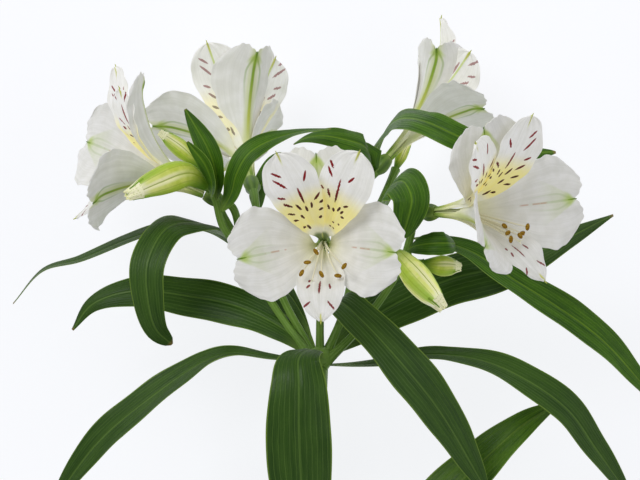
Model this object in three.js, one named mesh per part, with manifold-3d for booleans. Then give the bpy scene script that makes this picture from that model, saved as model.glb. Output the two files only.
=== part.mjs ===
/**
 * A cut stem of a white alstroemeria, lying on a table: one leafy stem, a whorl of leaves at its top,
 * rays that carry five open blooms and five buds, and the small leaves among the flowers.
 *
 * Millimetres. Shapes are drawn in the whorl's frame: its origin is the whorl of leaves, +Y runs up
 * the stem to the flowers, +X is to the right of it and +Z points up from the table. The group is then
 * moved by WHORL, so that the table is z = 0 and the origin lies under the middle of the whole stem.
 */
import * as THREE from 'three';
import { mergeVertices } from 'three/addons/utils/BufferGeometryUtils.js';
import Module from 'manifold-3d';

const wasm = await Module();
wasm.setup();

// ---------------------------------------------------------------- driving dimensions

const WHORL = new THREE.Vector3(-6, 121, 62.4);
const GAP = 0.3;
const LEAF_THICK = 0.7;
const TEPAL_THICK = 0.6;
const END_HALF_WIDTH = 0.5;

const STEM = {
  spine: [[0, 3, 0], [-1, -20, -3], [-2.5, -46, -7], [-6, -150, -24], [-4, -260, -42],
    [0, -372, -58.5]],
  topRadius: 3.3,
  cutRadius: 4.1,
  sides: 10,
  steps: 12,
};
const NODE_SWELLING = 4.6;
const RAY = { radius: 1.6, neck: 3, sides: 6, steps: 6 };

const OVARY = { length: 8, base: 1.7, belly: 3.1, top: 2.3, sides: 12, steps: 5, rib: 0.07 };

/** Half-widths along a tepal, as [share of its length, millimetres]. */
const OUTER_WIDTH = [
  [0, 0.8], [0.18, 1.1], [0.32, 4], [0.46, 9.5], [0.62, 15.5], [0.78, 17.8], [0.92, 16], [1, 12],
];
const INNER_WIDTH = [
  [0, 0.8], [0.2, 1], [0.37, 3.6], [0.55, 6.8], [0.7, 9.4], [0.82, 10.2], [0.93, 6.6], [1, 0.6],
];
const LOWER_WIDTH = [
  [0, 0.8], [0.2, 1], [0.36, 4.2], [0.52, 7.6], [0.67, 9], [0.82, 7], [0.93, 3], [1, 0.6],
];

/** Routes of a tepal out of the flower, as [distance from the axis, height along the axis]. */
const OUTER_ROUTE = [[1.9, 0.5], [3.2, 8], [6, 18], [13, 28], [25, 37], [38, 42]];
const INNER_ROUTE = [[1.8, 0.6], [2.7, 9], [5.5, 20], [12, 32], [21, 41], [34, 48]];
const LOWER_ROUTE = [[1.8, 0.6], [3, 9], [7, 20], [12, 30], [18, 38], [28, 44]];

const NOTCH = 5;
const ROUND_SHOULDER = 6;

/** How far one edge of an inner tepal stands over its neighbour, as a share of its half-width. */
const OVERLAP = 0.12;

/**
 * Where the six anthers and the stigma end, in the flower's frame: right, up, out of the mouth.
 * The anthers come in the order that their filaments stand round the tube.
 */
const ANTHERS = [
  [-1.5, -3.5, 30], [-4.5, -7.5, 34], [-6.5, -11.5, 37], [1, -12, 39], [7, -12.5, 36], [9.5, -9, 40],
];
const ANTHER_CENTRE = [1, -9.5, 36];
const STIGMA = [-2.5, -14.5, 40];
const FIRST_FILAMENT = 110;
const FILAMENT_RADIUS = 0.4;
const ANTHER = { length: 2.6, thick: 1.7 };

/**
 * The blooms. `ray` leads up to the neck under the ovary. `axis` points out of the mouth and `up` to
 * the back tepal. `mouth` is how far the stamens lean from the axis and `bunch` how far apart their
 * anthers stand. `tepals` gives each tepal's kind, its turn round the axis in degrees (90 is up), how
 * wide it opens, how far it reaches and, if it does so, how much it folds along its midrib and how
 * many degrees its face rolls round the axis by its tip.
 */
const BLOOMS = {
  front: {
    ray: [[0, -2, 1], [0, 12, -1], [0.5, 30, -5], [1.6, 39.5, -8]],
    base: [1.5, 43, 6],
    axis: [-0.05, 0.02, 1],
    up: [0, 1, 0],
    mouth: 1,
    bunch: 1,
    tepals: [
      ['outer', 92, 0.98, 0.94], ['outer', 192, 0.92, 1], ['outer', 352, 0.87, 1],
      ['inner', 115, 1.05, 1], ['inner', 65, 1.07, 1], ['lower', 272, 1.05, 1],
    ],
  },
  right: {
    ray: [[1, -3, 1], [14, 10, 0], [30, 33, -2], [34.5, 46, -2]],
    base: [44, 55, 9],
    axis: [0.72, 0.02, 0.69],
    up: [-0.28, 0.93, 0.26],
    mouth: 1,
    bunch: 0.55,
    tepals: [
      ['outer', 96, 1.02, 0.98, 0, -28], ['outer', 192, 0.77, 1.08, 0.1], ['outer', 345, 1, 1.02],
      ['inner', 115, 1.05, 0.93, 0, 12], ['inner', 66, 1.02, 1], ['lower', 271, 1.03, 1],
    ],
  },
  left: {
    ray: [[-29, 38.5, -4.5], [-31, 45, -5.5], [-31.5, 52, -4]],
    base: [-43.5, 62, 0],
    axis: [-0.9, 0.43, 0.04],
    up: [0.43, 0.9, 0.1],
    mouth: 0.85,
    bunch: 0.8,
    tepals: [
      ['outer', 98, 0.87, 1, 0.3, -6], ['outer', 189, 0.84, 1.23, 0.19, -11],
      ['outer', 323, 0.94, 0.93, 0.06, 33], ['inner', 114, 0.88, 1.08, 0, 30],
      ['inner', 85, 0.63, 0.97, 0, 60], ['lower', 264, 1.07, 0.92],
    ],
  },
  back_left: {
    ray: [[-1, -2, -2], [-6, 7, -6], [-14, 22, -7], [-22, 44, -5], [-24, 54.5, -2.2]],
    base: [-26.5, 67.5, -15],
    axis: [-0.15, 0.6, -0.79],
    up: [0.17, 0.77, 0.62],
    mouth: 0.75,
    bunch: 0.8,
    tepals: [
      ['outer', 96, 0.94, 1.02, 0.6, 13], ['outer', 196, 0.48, 0.95, 0.13, -4],
      ['outer', 346, 0.96, 1.1], ['inner', 63, 0.97, 1], ['inner', 114, 0.83, 0.93],
      ['lower', 272, 0.9, 0.94],
    ],
  },
  back_right: {
    ray: [[1, -2, -1], [9, 17, -4], [14, 42, -16], [15.4, 55, -26], [16.6, 62.5, -28.6]],
    base: [26, 76, -31.87],
    axis: [0.63, 0.71, -0.3],
    up: [-0.3, 0.6, 0.74],
    mouth: 0.42,
    bunch: 0.8,
    tepals: [
      ['outer', 90, 0.68, 1.03, 0.95, 40], ['outer', 181, 0.58, 0.95], ['outer', 333, 0.42, 1.15, 0.2],
      ['inner', 72, 0.7, 1.1, 0.6, -40], ['inner', 119, 0.55, 1, 0.1], ['lower', 265, 0.88, 0.95],
    ],
  },
};

/** The buds: their ray, a route from the stalk to the frilled tip, the widest radius and its place. */
const BUDS = {
  left: {
    ray: [[-1, -3, -1], [-6, 3, -3], [-18, 20, -8], [-30, 40, -4], [-37, 50, 1], [-39.5, 59.5, 5.5]],
    spine: [[-43.5, 64.9, 9.2], [-51, 69, 16], [-62, 66, 21], [-72, 61.5, 26]],
    radius: 5.6, peak: 0.45,
  },
  left_back: {
    ray: [[-32, 45, -4.2], [-38, 56, -8], [-42, 65, -9.5]],
    spine: [[-45.2, 71.4, -10.4], [-53, 79, -12], [-61, 85.5, -14]],
    radius: 3.4, peak: 0.5,
  },
  right: {
    ray: [[29, 32, -1.4], [27.2, 36, 3]],
    spine: [[28.4, 39.8, 8.6], [31, 37, 14], [38, 28, 18.5], [46, 19, 19.5]],
    radius: 5.4, peak: 0.5,
  },
  right_small: {
    ray: [[33, 40, -1.8], [34, 37.5, -2.4]],
    spine: [[38.9, 35.6, -3.1], [46, 34.6, -4], [53.5, 34, -4.5]],
    radius: 4, peak: 0.5,
  },
  hidden: {
    ray: [[14, 40, -15], [19, 50, -22], [24, 60, -31]],
    spine: [[29.2, 71.6, -39.4], [31.5, 77, -43], [35, 83, -46]],
    radius: 2.2, peak: 0.45,
  },
};

/**
 * The leaves. `spine` is the midrib, `width` the widest place, and `faces` the directions that the
 * upper face looks to, from base to tip. `cup` lifts the edges and `wave` ripples them.
 */
const WHORL_LEAVES = {
  front: {
    spine: [[0, -1, 2], [-3, 3, 9], [-8, 0, 19], [-8, -10, 24], [-8, -27, 22], [-7, -50, 14],
      [-5, -77, 4]],
    width: 25, faces: [[0, 1, 0], [0, 0.9, 0.5], [0.1, 0.1, 1], [0.1, 0, 1], [0, 0, 1]],
    peak: 0.55, cup: -0.12, wave: 0.4,
  },
  left_low: {
    spine: [[-2, -2, 1], [-19, 0, 8], [-32, 2, 10], [-43, -1, 10], [-64, -15, 8], [-84, -32, 2],
      [-103, -57, -8]],
    width: 14, faces: [[0, 1, 0.25], [0, 1, 0.4], [0, 0.7, 1], [-0.2, 0.4, 1]],
    peak: 0.52, cup: 0.15, wave: 0.3,
  },
  left_broad: {
    spine: [[-3, 1, -2], [-13, 10, -5], [-31, 19, -11], [-50, 23, -14], [-71, 25, -14], [-87, 20, -16],
      [-95, 10, -20]],
    width: 17, faces: [[-0.3, 0.8, 0.6], [0, 0.6, 1], [0, 0.4, 1], [0, 0.5, 1]],
    peak: 0.42, cup: -0.12, wave: 0.5,
  },
  left_long: {
    spine: [[-2.5, 2, -6], [-11, 18, -21], [-23, 35, -28], [-38, 46, -28], [-54, 50, -23],
      [-73, 45, -18], [-92, 37, -16], [-106, 33, -18], [-118, 20, -24]],
    width: 12, faces: [[-0.6, 0.6, 0.5], [-0.4, 1, 0.3], [0, 1, 0.35], [0, 1, 0.45]],
    peak: 0.4, cup: 0.1, wave: 0.2,
  },
  left_hanging: {
    spine: [[-2, 3, -3.5], [-10, 15, -13.5], [-22, 31, -19], [-35, 46, -14], [-47, 51, 0],
      [-58, 49, 12], [-65, 36, 19], [-65, 23, 19], [-62, 11, 14], [-56, 5, 8]],
    width: 15, faces: [[-0.6, 0.6, 0.5], [-0.3, 1, 0.3], [-0.2, 1, 0.3], [-0.5, 0.4, 1], [-0.3, 0, 1],
      [0, 0, 1]],
    peak: 0.6, cup: -0.12, wave: 0.4,
  },
  right_low: {
    spine: [[1, -3, 0], [13, -3, 1], [25, -2, 2], [40, 1, 4], [61, -1, 7], [79, -9, 8], [94, -20, 6],
      [105, -35, 0], [118, -53, -8]],
    width: 13.5, faces: [[0, 1, 0.3], [0, 1, 0.5], [0, 0.6, 1], [0.3, 0.6, 1]],
    peak: 0.58, cup: 0.12, wave: 0.3,
  },
  right_broad: {
    spine: [[2, 1, -4], [19, 14, -14], [35, 23, -20], [52, 30, -22], [69, 34, -20], [86, 41, -16],
      [112, 54, -10]],
    width: 22, faces: [[0.3, 0.8, 0.6], [-0.1, 0.6, 1], [-0.2, 0.4, 1], [-0.3, 0.7, 1]],
    peak: 0.42, cup: -0.1, wave: 0.5,
  },
  right_front: {
    spine: [[8.6, 16, -3.4], [5, 19, 5], [8, 21, 17], [16, 14, 23], [29, 0, 22], [45, -20, 13],
      [64, -52, 0]],
    width: 19, faces: [[-0.6, 1, 0.2], [-0.3, 1, 0.5], [0.3, 0.4, 1], [0.4, 0.3, 1], [0.3, 0.2, 1]],
    peak: 0.5, cup: 0.1, wave: 0.35,
  },
  back: {
    spine: [[0, -4, -3], [-4, 1, -14], [-7, -12, -26], [-9, -38, -36], [-7, -72, -46]],
    width: 17, faces: [[0, 1, 0], [0, 1, -0.6], [0.1, 0.3, -1], [0, 0, -1]],
    peak: 0.5, cup: -0.1, wave: 0.4,
  },
};

const FLOWER_LEAVES = {
  right_upper: {
    spine: [[35.5, 45, 0], [46, 44, -4], [58, 40, -4], [73, 30, -3], [89, 20, -4], [107, 7, -7],
      [122, -9, -14], [130, -19, -20]],
    width: 14, faces: [[0, 1, 0.6], [0.2, 0.8, 1], [0.3, 0.5, 1], [0.3, 0.4, 1]],
    peak: 0.5, cup: 0.12, wave: 0.3,
  },
  left_upright: {
    spine: [[-39.2, 59.6, 7.6], [-39, 67, 10.5], [-41.5, 77, 12], [-51, 94, 9]],
    width: 9, faces: [[-0.9, 0.3, 1], [-0.4, 0.3, 1], [-0.3, 0.2, 1]], peak: 0.45, cup: 0.12, wave: 0.1,
  },
  left_small: {
    spine: [[-41.2, 60.6, 9.6], [-40.8, 66, 15], [-43.4, 73, 18.5], [-50, 81.5, 19]],
    width: 6, faces: [[-1, 0, 1], [-0.8, 0.3, 1], [-0.6, 0.3, 1]], peak: 0.45, cup: 0.15, wave: 0.1,
  },
  left_arching: {
    spine: [[-37.2, 55.5, 6.4], [-33.6, 62, 12.4], [-31.5, 69.5, 16.4], [-27, 77, 17.4],
      [-19, 82, 15.5], [-9, 85, 14], [4, 86.5, 12]],
    width: 9.5, faces: [[-0.3, 0.1, 1], [-0.4, 0.3, 1], [-0.3, 0.6, 1], [0, 1, 0.5], [0, 1, 0.3]],
    peak: 0.42, cup: 0.1, wave: 0.2,
  },
  right_arching: {
    spine: [[15.6, 57.6, -27.6], [14, 66, -18], [18.5, 76, -6], [17, 80, 1], [10, 82.5, 4.5], [1, 84, 4],
      [-6, 83, 1], [-10, 81, -2]],
    width: 12, faces: [[-0.8, 0, 1], [-0.7, 0.3, 0.8], [0.4, 0.7, 1], [0, 0.6, 1], [0, 0.9, 0.7]],
    peak: 0.45, cup: -0.1, wave: 0.3,
  },
  left_inner: {
    spine: [[-23.8, 55, -3.4], [-24, 58.5, -10], [-23.8, 62.5, -17], [-21.8, 67.5, -20.5],
      [-18.5, 73.5, -20.5], [-14, 77.5, -17.5]],
    width: 7, faces: [[0, 0.8, 0.5], [0, 0.8, 0.6], [-0.3, 0.5, 0.8], [0, 0.3, 1]], peak: 0.6,
    cup: 0.1, wave: 0.1,
  },
  middle_folded: {
    spine: [[19.6, 50.8, -22.4], [23.5, 57, -11], [27, 65, 2], [31.5, 66.5, 11], [34.5, 60, 17.5],
      [33, 52, 17.5], [30.8, 45, 14.5]],
    width: 16, faces: [[-0.8, 1, 0.2], [-0.6, 1, 0.4], [0, 0.6, 1], [0.2, 0.1, 1], [0.2, -0.1, 1]],
    peak: 0.58, cup: -0.16, wave: 0.3,
  },
  right_folded: {
    spine: [[16.6, 61, -29.4], [17.4, 65.5, -34.4], [19.6, 76, -37.4], [23.5, 84, -31], [28.5, 90, -20],
      [34, 91, -9], [41.5, 89, 1], [52, 84, 5.5], [68, 78, 0], [90, 78, -9]],
    width: 12, faces: [[-0.3, 0, -1], [-0.8, 0.3, -0.6], [-0.8, 0.5, 0.2], [-0.3, 0.8, 0.6], [0, 0.5, 1],
      [0, 0.5, 1], [0, 0.6, 1]],
    peak: 0.52, cup: -0.1, wave: 0.3,
  },
  right_small: {
    spine: [[33.4, 41, -1], [37, 42.5, 4], [42, 43.2, 7], [48, 43.4, 7], [51.2, 43.2, 1.5]],
    width: 9.5, faces: [[-0.5, 0.6, 1], [0, 0.4, 1], [0.4, 0.4, 1], [1, 0.4, 0.2]], peak: 0.6,
    cup: -0.1, wave: 0.1,
  },
};

const STEM_LEAVES = {
  right_high: {
    spine: [[-2, -93, -13], [15, -82, -11], [38, -63, -11], [61, -41, -12], [78, -26, -14],
      [91, -18, -18]],
    width: 21, faces: [[0, 0.5, 1], [-0.4, 0.5, 1], [-0.5, 0.5, 1]], peak: 0.5, cup: 0.12, wave: 0.4,
  },
  front: {
    spine: [[-4, -100, -14], [-6, -95, -3], [-12, -103, 6], [-16, -122, 7], [-17, -150, 0],
      [-20, -178, -12]],
    width: 19, faces: [[0, 1, 0.3], [-0.2, 0.7, 1], [-0.2, 0.1, 1], [-0.1, 0, 1]], peak: 0.5, cup: -0.1,
    wave: 0.4,
  },
  left_high: {
    spine: [[-5, -122, -20], [-22, -112, -20], [-48, -100, -22], [-76, -97, -24], [-98, -106, -28],
      [-112, -122, -34]],
    width: 18, faces: [[0, 0.8, 1], [0.2, 0.6, 1], [-0.2, 0.5, 1]], peak: 0.45, cup: 0.1, wave: 0.4,
  },
  right_middle: {
    spine: [[-5, -152, -25], [12, -140, -20], [38, -132, -18], [66, -136, -22], [88, -150, -30],
      [100, -168, -38]],
    width: 18, faces: [[0, 0.8, 1], [-0.2, 0.6, 1], [0.2, 0.5, 1]], peak: 0.45, cup: 0.1, wave: 0.4,
  },
  left_low: {
    spine: [[-5, -183, -31], [-22, -174, -27], [-48, -170, -26], [-74, -178, -30], [-92, -194, -37],
      [-103, -212, -45]],
    width: 17, faces: [[0, 0.8, 1], [0.2, 0.6, 1], [-0.2, 0.5, 1]], peak: 0.45, cup: 0.1, wave: 0.4,
  },
  right_low: {
    spine: [[-4, -214, -37], [14, -204, -33], [38, -200, -32], [62, -208, -37], [78, -222, -44],
      [87, -240, -52]],
    width: 16, faces: [[0, 0.8, 1], [-0.2, 0.6, 1], [0.2, 0.5, 1]], peak: 0.45, cup: 0.1, wave: 0.4,
  },
};

const COLOURS = {
  stem: '#5f8a35',
  whorl_leaf: '#2c5a26',
  flower_leaf: '#3f7d2b',
  ovary: '#4d7a30',
  bud: '#c9d884',
  tepals: '#f3f3ef',
  stamens: '#e9e4c4',
};

// ---------------------------------------------------------------- solids and meshes

function solidOf(geometry) {
  geometry.deleteAttribute('normal');
  geometry.deleteAttribute('uv');
  const merged = mergeVertices(geometry, 1e-4);
  const vertProperties = new Float32Array(merged.attributes.position.array);
  const triVerts = new Uint32Array(merged.index.array);
  return new wasm.Manifold(new wasm.Mesh({ numProp: 3, vertProperties, triVerts }));
}

function geometryOf(solid) {
  const mesh = solid.getMesh();
  const geometry = new THREE.BufferGeometry();
  geometry.setAttribute('position', new THREE.BufferAttribute(mesh.vertProperties, 3));
  geometry.setIndex(new THREE.BufferAttribute(mesh.triVerts, 1));
  geometry.computeVertexNormals();
  return geometry;
}

function joined(geometries) {
  return geometries.map(solidOf).reduce((whole, solid) => whole.add(solid));
}

/** The biggest body of a solid: scraps are dropped and a sealed hollow is filled. */
function mainBody(solid) {
  return solid.decompose().reduce((best, body) => (body.volume() > best.volume() ? body : best));
}

function namedMesh(name, solid, colour, roughness) {
  const material = new THREE.MeshStandardMaterial({ color: colour, roughness, metalness: 0 });
  const mesh = new THREE.Mesh(geometryOf(mainBody(solid)), material);
  mesh.name = name;
  return mesh;
}

const vectors = (points) => points.map((point) => new THREE.Vector3(...point));

const route = (points) => new THREE.CatmullRomCurve3(vectors(points), false, 'centripetal');

/** A smooth curve through [place, value] points. */
function profile(points) {
  const slopes = points.map((point, i) => {
    const before = points[Math.max(i - 1, 0)];
    const after = points[Math.min(i + 1, points.length - 1)];
    return (after[1] - before[1]) / (after[0] - before[0]);
  });
  return (place) => {
    const next = points.findIndex((point, i) => i > 0 && place <= point[0]);
    const i = next < 0 ? points.length - 1 : next;
    const [start, low] = points[i - 1];
    const [end, high] = points[i];
    const span = end - start;
    const u = THREE.MathUtils.clamp((place - start) / span, 0, 1);
    const rise = u * u * (3 - 2 * u);
    const curl = u * (1 - u) * ((1 - u) * slopes[i - 1] - u * slopes[i]) * span;
    return low + (high - low) * rise + curl;
  };
}

// ---------------------------------------------------------------- rods and blades

/** A closed rod along a curve. `radius(t, angle)` gives its radius at a share t of the length. */
function rod(curve, radius, sides, steps) {
  const geometry = new THREE.CylinderGeometry(1, 1, 1, sides, steps);
  const frames = curve.computeFrenetFrames(steps);
  const position = geometry.attributes.position;
  const point = new THREE.Vector3();
  for (let i = 0; i < position.count; i += 1) {
    const t = position.getY(i) + 0.5;
    const row = Math.round(t * steps);
    const across = position.getX(i);
    const up = position.getZ(i);
    const scale = radius(t, Math.atan2(across, up));
    point.copy(curve.getPointAt(t));
    point.addScaledVector(frames.binormals[row], across * scale);
    point.addScaledVector(frames.normals[row], up * scale);
    position.setXYZ(i, point.x, point.y, point.z);
  }
  return geometry;
}

/** Splits the back of a box into triangles the same way round as its front. */
function matchDiagonals(box) {
  const back = box.groups[5];
  for (let i = back.start; i < back.start + back.count; i += 6) {
    const opposite = box.index.getX(i + 4);
    box.index.setX(i + 2, opposite);
    box.index.setX(i + 3, box.index.getX(i));
  }
}

/**
 * A thin blade along a spine. s runs from -1 to 1 across it and t from 0 to 1 along it. `faces` are
 * the directions that its upper face looks to, `lift(s, t)` raises the surface towards them and
 * `reach(s, t)` pushes it along the spine.
 */
function blade({ spine, faces, halfWidth, lift, reach = () => 0, across, along, thick }) {
  const curve = route(spine);
  const hints = vectors(faces);
  const surface = (s, t) => {
    const tangent = curve.getTangentAt(t);
    const place = t * (hints.length - 1);
    const hint = hints[Math.floor(place)].clone();
    hint.lerp(hints[Math.ceil(place)], place % 1);
    const side = tangent.clone().cross(hint).normalize();
    const face = side.clone().cross(tangent);
    const point = curve.getPointAt(t);
    point.addScaledVector(side, s * halfWidth(t));
    point.addScaledVector(face, lift(s, t));
    return point.addScaledVector(tangent, reach(s, t));
  };
  const step = 0.01;
  const normal = (s, t) => {
    const back = Math.max(t - step, 0);
    const ahead = Math.min(t + step, 1);
    const overWidth = surface(s + step, t).sub(surface(s - step, t));
    const overLength = surface(s, ahead).sub(surface(s, back));
    return overWidth.cross(overLength).normalize();
  };
  const box = new THREE.BoxGeometry(2, 1, thick, across, along, 1);
  matchDiagonals(box);
  const position = box.attributes.position;
  for (let i = 0; i < position.count; i += 1) {
    const s = position.getX(i);
    const t = THREE.MathUtils.clamp(position.getY(i) + 0.5, 0, 1);
    const point = surface(s, t).addScaledVector(normal(s, t), position.getZ(i));
    position.setXYZ(i, point.x, point.y, point.z);
  }
  return box;
}

// ---------------------------------------------------------------- stem and rays

/** A ray: its own route, then a straight neck up to the flower or bud that sits at `seat`. */
function rayCurve(points, seat, direction) {
  const neck = seat.clone().addScaledVector(direction, -RAY.neck);
  const end = seat.clone().addScaledVector(direction, -GAP);
  return new THREE.CatmullRomCurve3([...vectors(points), neck, end], false, 'centripetal');
}

function bloomRay({ ray, base, axis }) {
  const out = new THREE.Vector3(...axis).normalize();
  const seat = new THREE.Vector3(...base).addScaledVector(out, -OVARY.length);
  return rayCurve(ray, seat, out);
}

function budRay({ ray, spine }) {
  const [seat, next] = vectors(spine);
  return rayCurve(ray, seat, next.sub(seat).normalize());
}

/** The main stem, its swollen node and the rays, each made thicker by `extra`. */
function skeleton(extra) {
  const { spine, topRadius, cutRadius, sides, steps } = STEM;
  const stem = rod(route(spine), (t) => topRadius + (cutRadius - topRadius) * t + extra, sides, steps);
  const node = new THREE.SphereGeometry(NODE_SWELLING + extra, sides, steps / 2);
  node.scale(1, 0.9, 1);
  const curves = [...Object.values(BLOOMS).map(bloomRay), ...Object.values(BUDS).map(budRay)];
  const rays = curves.map((curve) => rod(curve, () => RAY.radius + extra, RAY.sides, RAY.steps));
  return joined([stem, node, ...rays]);
}

// ---------------------------------------------------------------- leaves

/** A lance-shaped leaf: widest at `peak`, drawn out to a fine tip. */
function leafWidth(width, peak) {
  const rise = 0.8;
  const fall = rise * (1 - peak) / peak;
  return (t) => {
    const body = (t / peak) ** rise * ((1 - t) / (1 - peak)) ** fall;
    return END_HALF_WIDTH + (width / 2 - END_HALF_WIDTH) * body;
  };
}

function leaf({ spine, width, faces, peak, cup, wave }, across, along) {
  const halfWidth = leafWidth(width, peak);
  const ripples = 2.5;
  const lift = (s, t) => {
    const ripple = wave * Math.sin(2 * Math.PI * ripples * t + 1.5 * s) * Math.sin(Math.PI * t);
    return s * s * (cup * halfWidth(t) + ripple);
  };
  return blade({ spine, faces, halfWidth, lift, across, along, thick: LEAF_THICK });
}

function leafMeshes(leaves, prefix, colour, cutter, across, along) {
  return Object.entries(leaves).map(([name, shape]) => {
    const solid = solidOf(leaf(shape, across, along)).subtract(cutter);
    return namedMesh(`${prefix}_${name}`, solid, colour, 0.45);
  });
}

// ---------------------------------------------------------------- buds

/** A bud: a six-ridged spindle with a blunt, frilled end. */
function bud({ spine, radius, peak }) {
  const sides = 12;
  const steps = 6;
  const swell = profile([
    [0, 0.32], [peak * 0.5, 0.72], [peak, 1], [peak + 0.25, 0.86], [0.9, 0.5], [1, 0.3],
  ]);
  const ridge = (angle) => 1 + 0.05 * Math.cos(3 * angle);
  return rod(route(spine), (t, angle) => radius * swell(t) * ridge(angle), sides, steps);
}

// ---------------------------------------------------------------- blooms

function ovary() {
  const { length, base, belly, top, sides, steps, rib } = OVARY;
  const radius = profile([[0, base], [0.35, belly * 0.94], [0.6, belly], [0.85, belly * 0.9], [1, top]]);
  const ribbed = (t, angle) => radius(t) * (1 + rib * Math.sin(Math.PI * t) * Math.cos(6 * angle));
  return rod(route([[0, 0, -length], [0, 0, -length / 2], [0, 0, 0]]), ribbed, sides, steps);
}

/** A disc across the flower's axis that the roots of its blades or threads run into. */
function disc(radius, low, high, sides) {
  const geometry = new THREE.CylinderGeometry(radius, radius, high - low, sides);
  geometry.rotateX(Math.PI / 2);
  geometry.translate(0, 0, (high + low) / 2);
  return geometry;
}

const TEPAL_KINDS = {
  outer: { route: OUTER_ROUTE, width: OUTER_WIDTH, notched: true, across: 4, along: 6 },
  inner: { route: INNER_ROUTE, width: INNER_WIDTH, notched: false, across: 4, along: 6 },
  lower: { route: LOWER_ROUTE, width: LOWER_WIDTH, notched: false, across: 4, along: 5 },
};

/** One tepal: a narrow gutter out of the tube, opening to a blade that bends back. */
function tepal(kind, degrees, open, far, fold = 0, roll = 0) {
  const { route: steps, width, notched, across, along } = TEPAL_KINDS[kind];
  const turn = THREE.MathUtils.degToRad(degrees);
  const [cos, sin] = [Math.cos(turn), Math.sin(turn)];
  const blend = THREE.MathUtils.smoothstep;
  const tipTurn = turn + THREE.MathUtils.degToRad(roll);
  const root = steps[0][0];
  const spine = steps.map(([out, height]) => {
    const spread = root + (out - root) * open;
    return [cos * spread, sin * spread, height * far];
  });
  const flatWidth = profile(width);
  const halfWidth = (t) => flatWidth(t) * (1 - 0.4 * fold);
  const gutter = profile([[0, 0.5], [0.3, 0.55], [0.5, 0.3], [0.7, 0.12], [1, -0.08]]);
  const lap = kind === 'inner' ? OVERLAP : 0;
  const lift = (s, t) => {
    const ripple = 0.7 * t ** 3 * Math.sin(9 * t + 2 * s + turn);
    const bend = gutter(t) + fold * blend(t, 0, 0.3);
    return s * s * (bend * halfWidth(t) + ripple) + s * lap * halfWidth(t);
  };
  const reach = (s, t) => {
    const heart = -NOTCH * (1 - Math.abs(s)) ** 2 - ROUND_SHOULDER * Math.abs(s) ** 3;
    return notched ? heart * blend(t, 0.6, 1) : 0;
  };
  const faces = [[-cos, -sin, 1], [-Math.cos(tipTurn), -Math.sin(tipTurn), 1]];
  return blade({ spine, faces, halfWidth, lift, reach, across, along, thick: TEPAL_THICK });
}

/** Six curved filaments with their anthers, and the style between them. */
function stamens(mouth, bunch) {
  const gather = (place) => place.map((value, k) => {
    const lean = k < 2 ? mouth : 1;
    return lean * (ANTHER_CENTRE[k] + (value - ANTHER_CENTRE[k]) * bunch);
  });
  const anthersAt = ANTHERS.map(gather);
  const threads = [...anthersAt, gather(STIGMA)].map(([x, y, z], i) => {
    const turn = THREE.MathUtils.degToRad(FIRST_FILAMENT + 60 * i);
    const spread = i < ANTHERS.length ? 1 : 0;
    const start = [spread * Math.cos(turn), spread * Math.sin(turn), 2.2];
    const inTube = [start[0] * 0.8 + x * 0.06, start[1] * 0.8 + y * 0.06, z * 0.35];
    const curve = route([start, inTube, [x * 0.5, y * 0.52, z * 0.72], [x, y, z]]);
    return rod(curve, () => FILAMENT_RADIUS, 3, 3);
  });
  const anthers = anthersAt.map(([x, y, z], i) => {
    const anther = new THREE.SphereGeometry(1, 5, 3);
    anther.scale(ANTHER.thick / 2, ANTHER.length / 2, ANTHER.thick / 2);
    anther.rotateZ(i - 2.5);
    anther.translate(x, y, z);
    return anther;
  });
  return joined([disc(1.4, 1.9, 2.8, 6), ...threads, ...anthers]);
}

/** A bloom as a group that stands on the ovary's top with +Z out of its mouth. */
function bloom(name, { base, axis, up, mouth, bunch, tepals }) {
  const out = new THREE.Vector3(...axis).normalize();
  const right = new THREE.Vector3(...up).cross(out).normalize();
  const top = out.clone().cross(right);
  const group = new THREE.Group();
  group.position.set(...base);
  group.quaternion.setFromRotationMatrix(new THREE.Matrix4().makeBasis(right, top, out));
  const flower = joined([disc(2.5, GAP, 1.5, 12), ...tepals.map((values) => tepal(...values))]);
  group.add(
    namedMesh(`${name}_bloom_ovary`, solidOf(ovary()), COLOURS.ovary, 0.5),
    namedMesh(`${name}_bloom_tepals`, flower, COLOURS.tepals, 0.55),
    namedMesh(`${name}_bloom_stamens`, stamens(mouth, bunch), COLOURS.stamens, 0.5),
  );
  return group;
}

/** An ovary grown by the gap, where its bloom holds it, as a cutter for the leaves. */
function ovaryRoom(group) {
  group.updateMatrix();
  const room = ovary();
  const swell = 1 + GAP / OVARY.belly;
  room.scale(swell, swell, 1 + GAP / OVARY.length);
  return solidOf(room.applyMatrix4(group.matrix));
}

// ---------------------------------------------------------------- assembly

const stem = new THREE.Group();
stem.position.copy(WHORL);

const blooms = Object.entries(BLOOMS).map(([name, shape]) => bloom(name, shape));
const cutter = blooms.map(ovaryRoom).reduce((whole, room) => whole.add(room), skeleton(GAP));

stem.add(namedMesh('stem', skeleton(0), COLOURS.stem, 0.5));
stem.add(...leafMeshes(WHORL_LEAVES, 'whorl_leaf', COLOURS.whorl_leaf, cutter, 4, 9));
stem.add(...leafMeshes(FLOWER_LEAVES, 'flower_leaf', COLOURS.flower_leaf, cutter, 2, 9));
stem.add(...leafMeshes(STEM_LEAVES, 'stem_leaf', COLOURS.whorl_leaf, cutter, 4, 7));
for (const [name, shape] of Object.entries(BUDS)) {
  stem.add(namedMesh(`${name}_bud`, solidOf(bud(shape)), COLOURS.bud, 0.45));
}
stem.add(...blooms);

export default stem;
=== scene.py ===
# %% [markdown]
# # A cut stem of white alstroemeria
#
# The flower lies on a pale table, and the camera looks straight down on it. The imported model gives
# the frame: one node for the stalk, and one for each leaf, bud, ovary, set of petals and set of
# stamens. Each of them is drawn again here, finer, in the same place, and then coloured.

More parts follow.
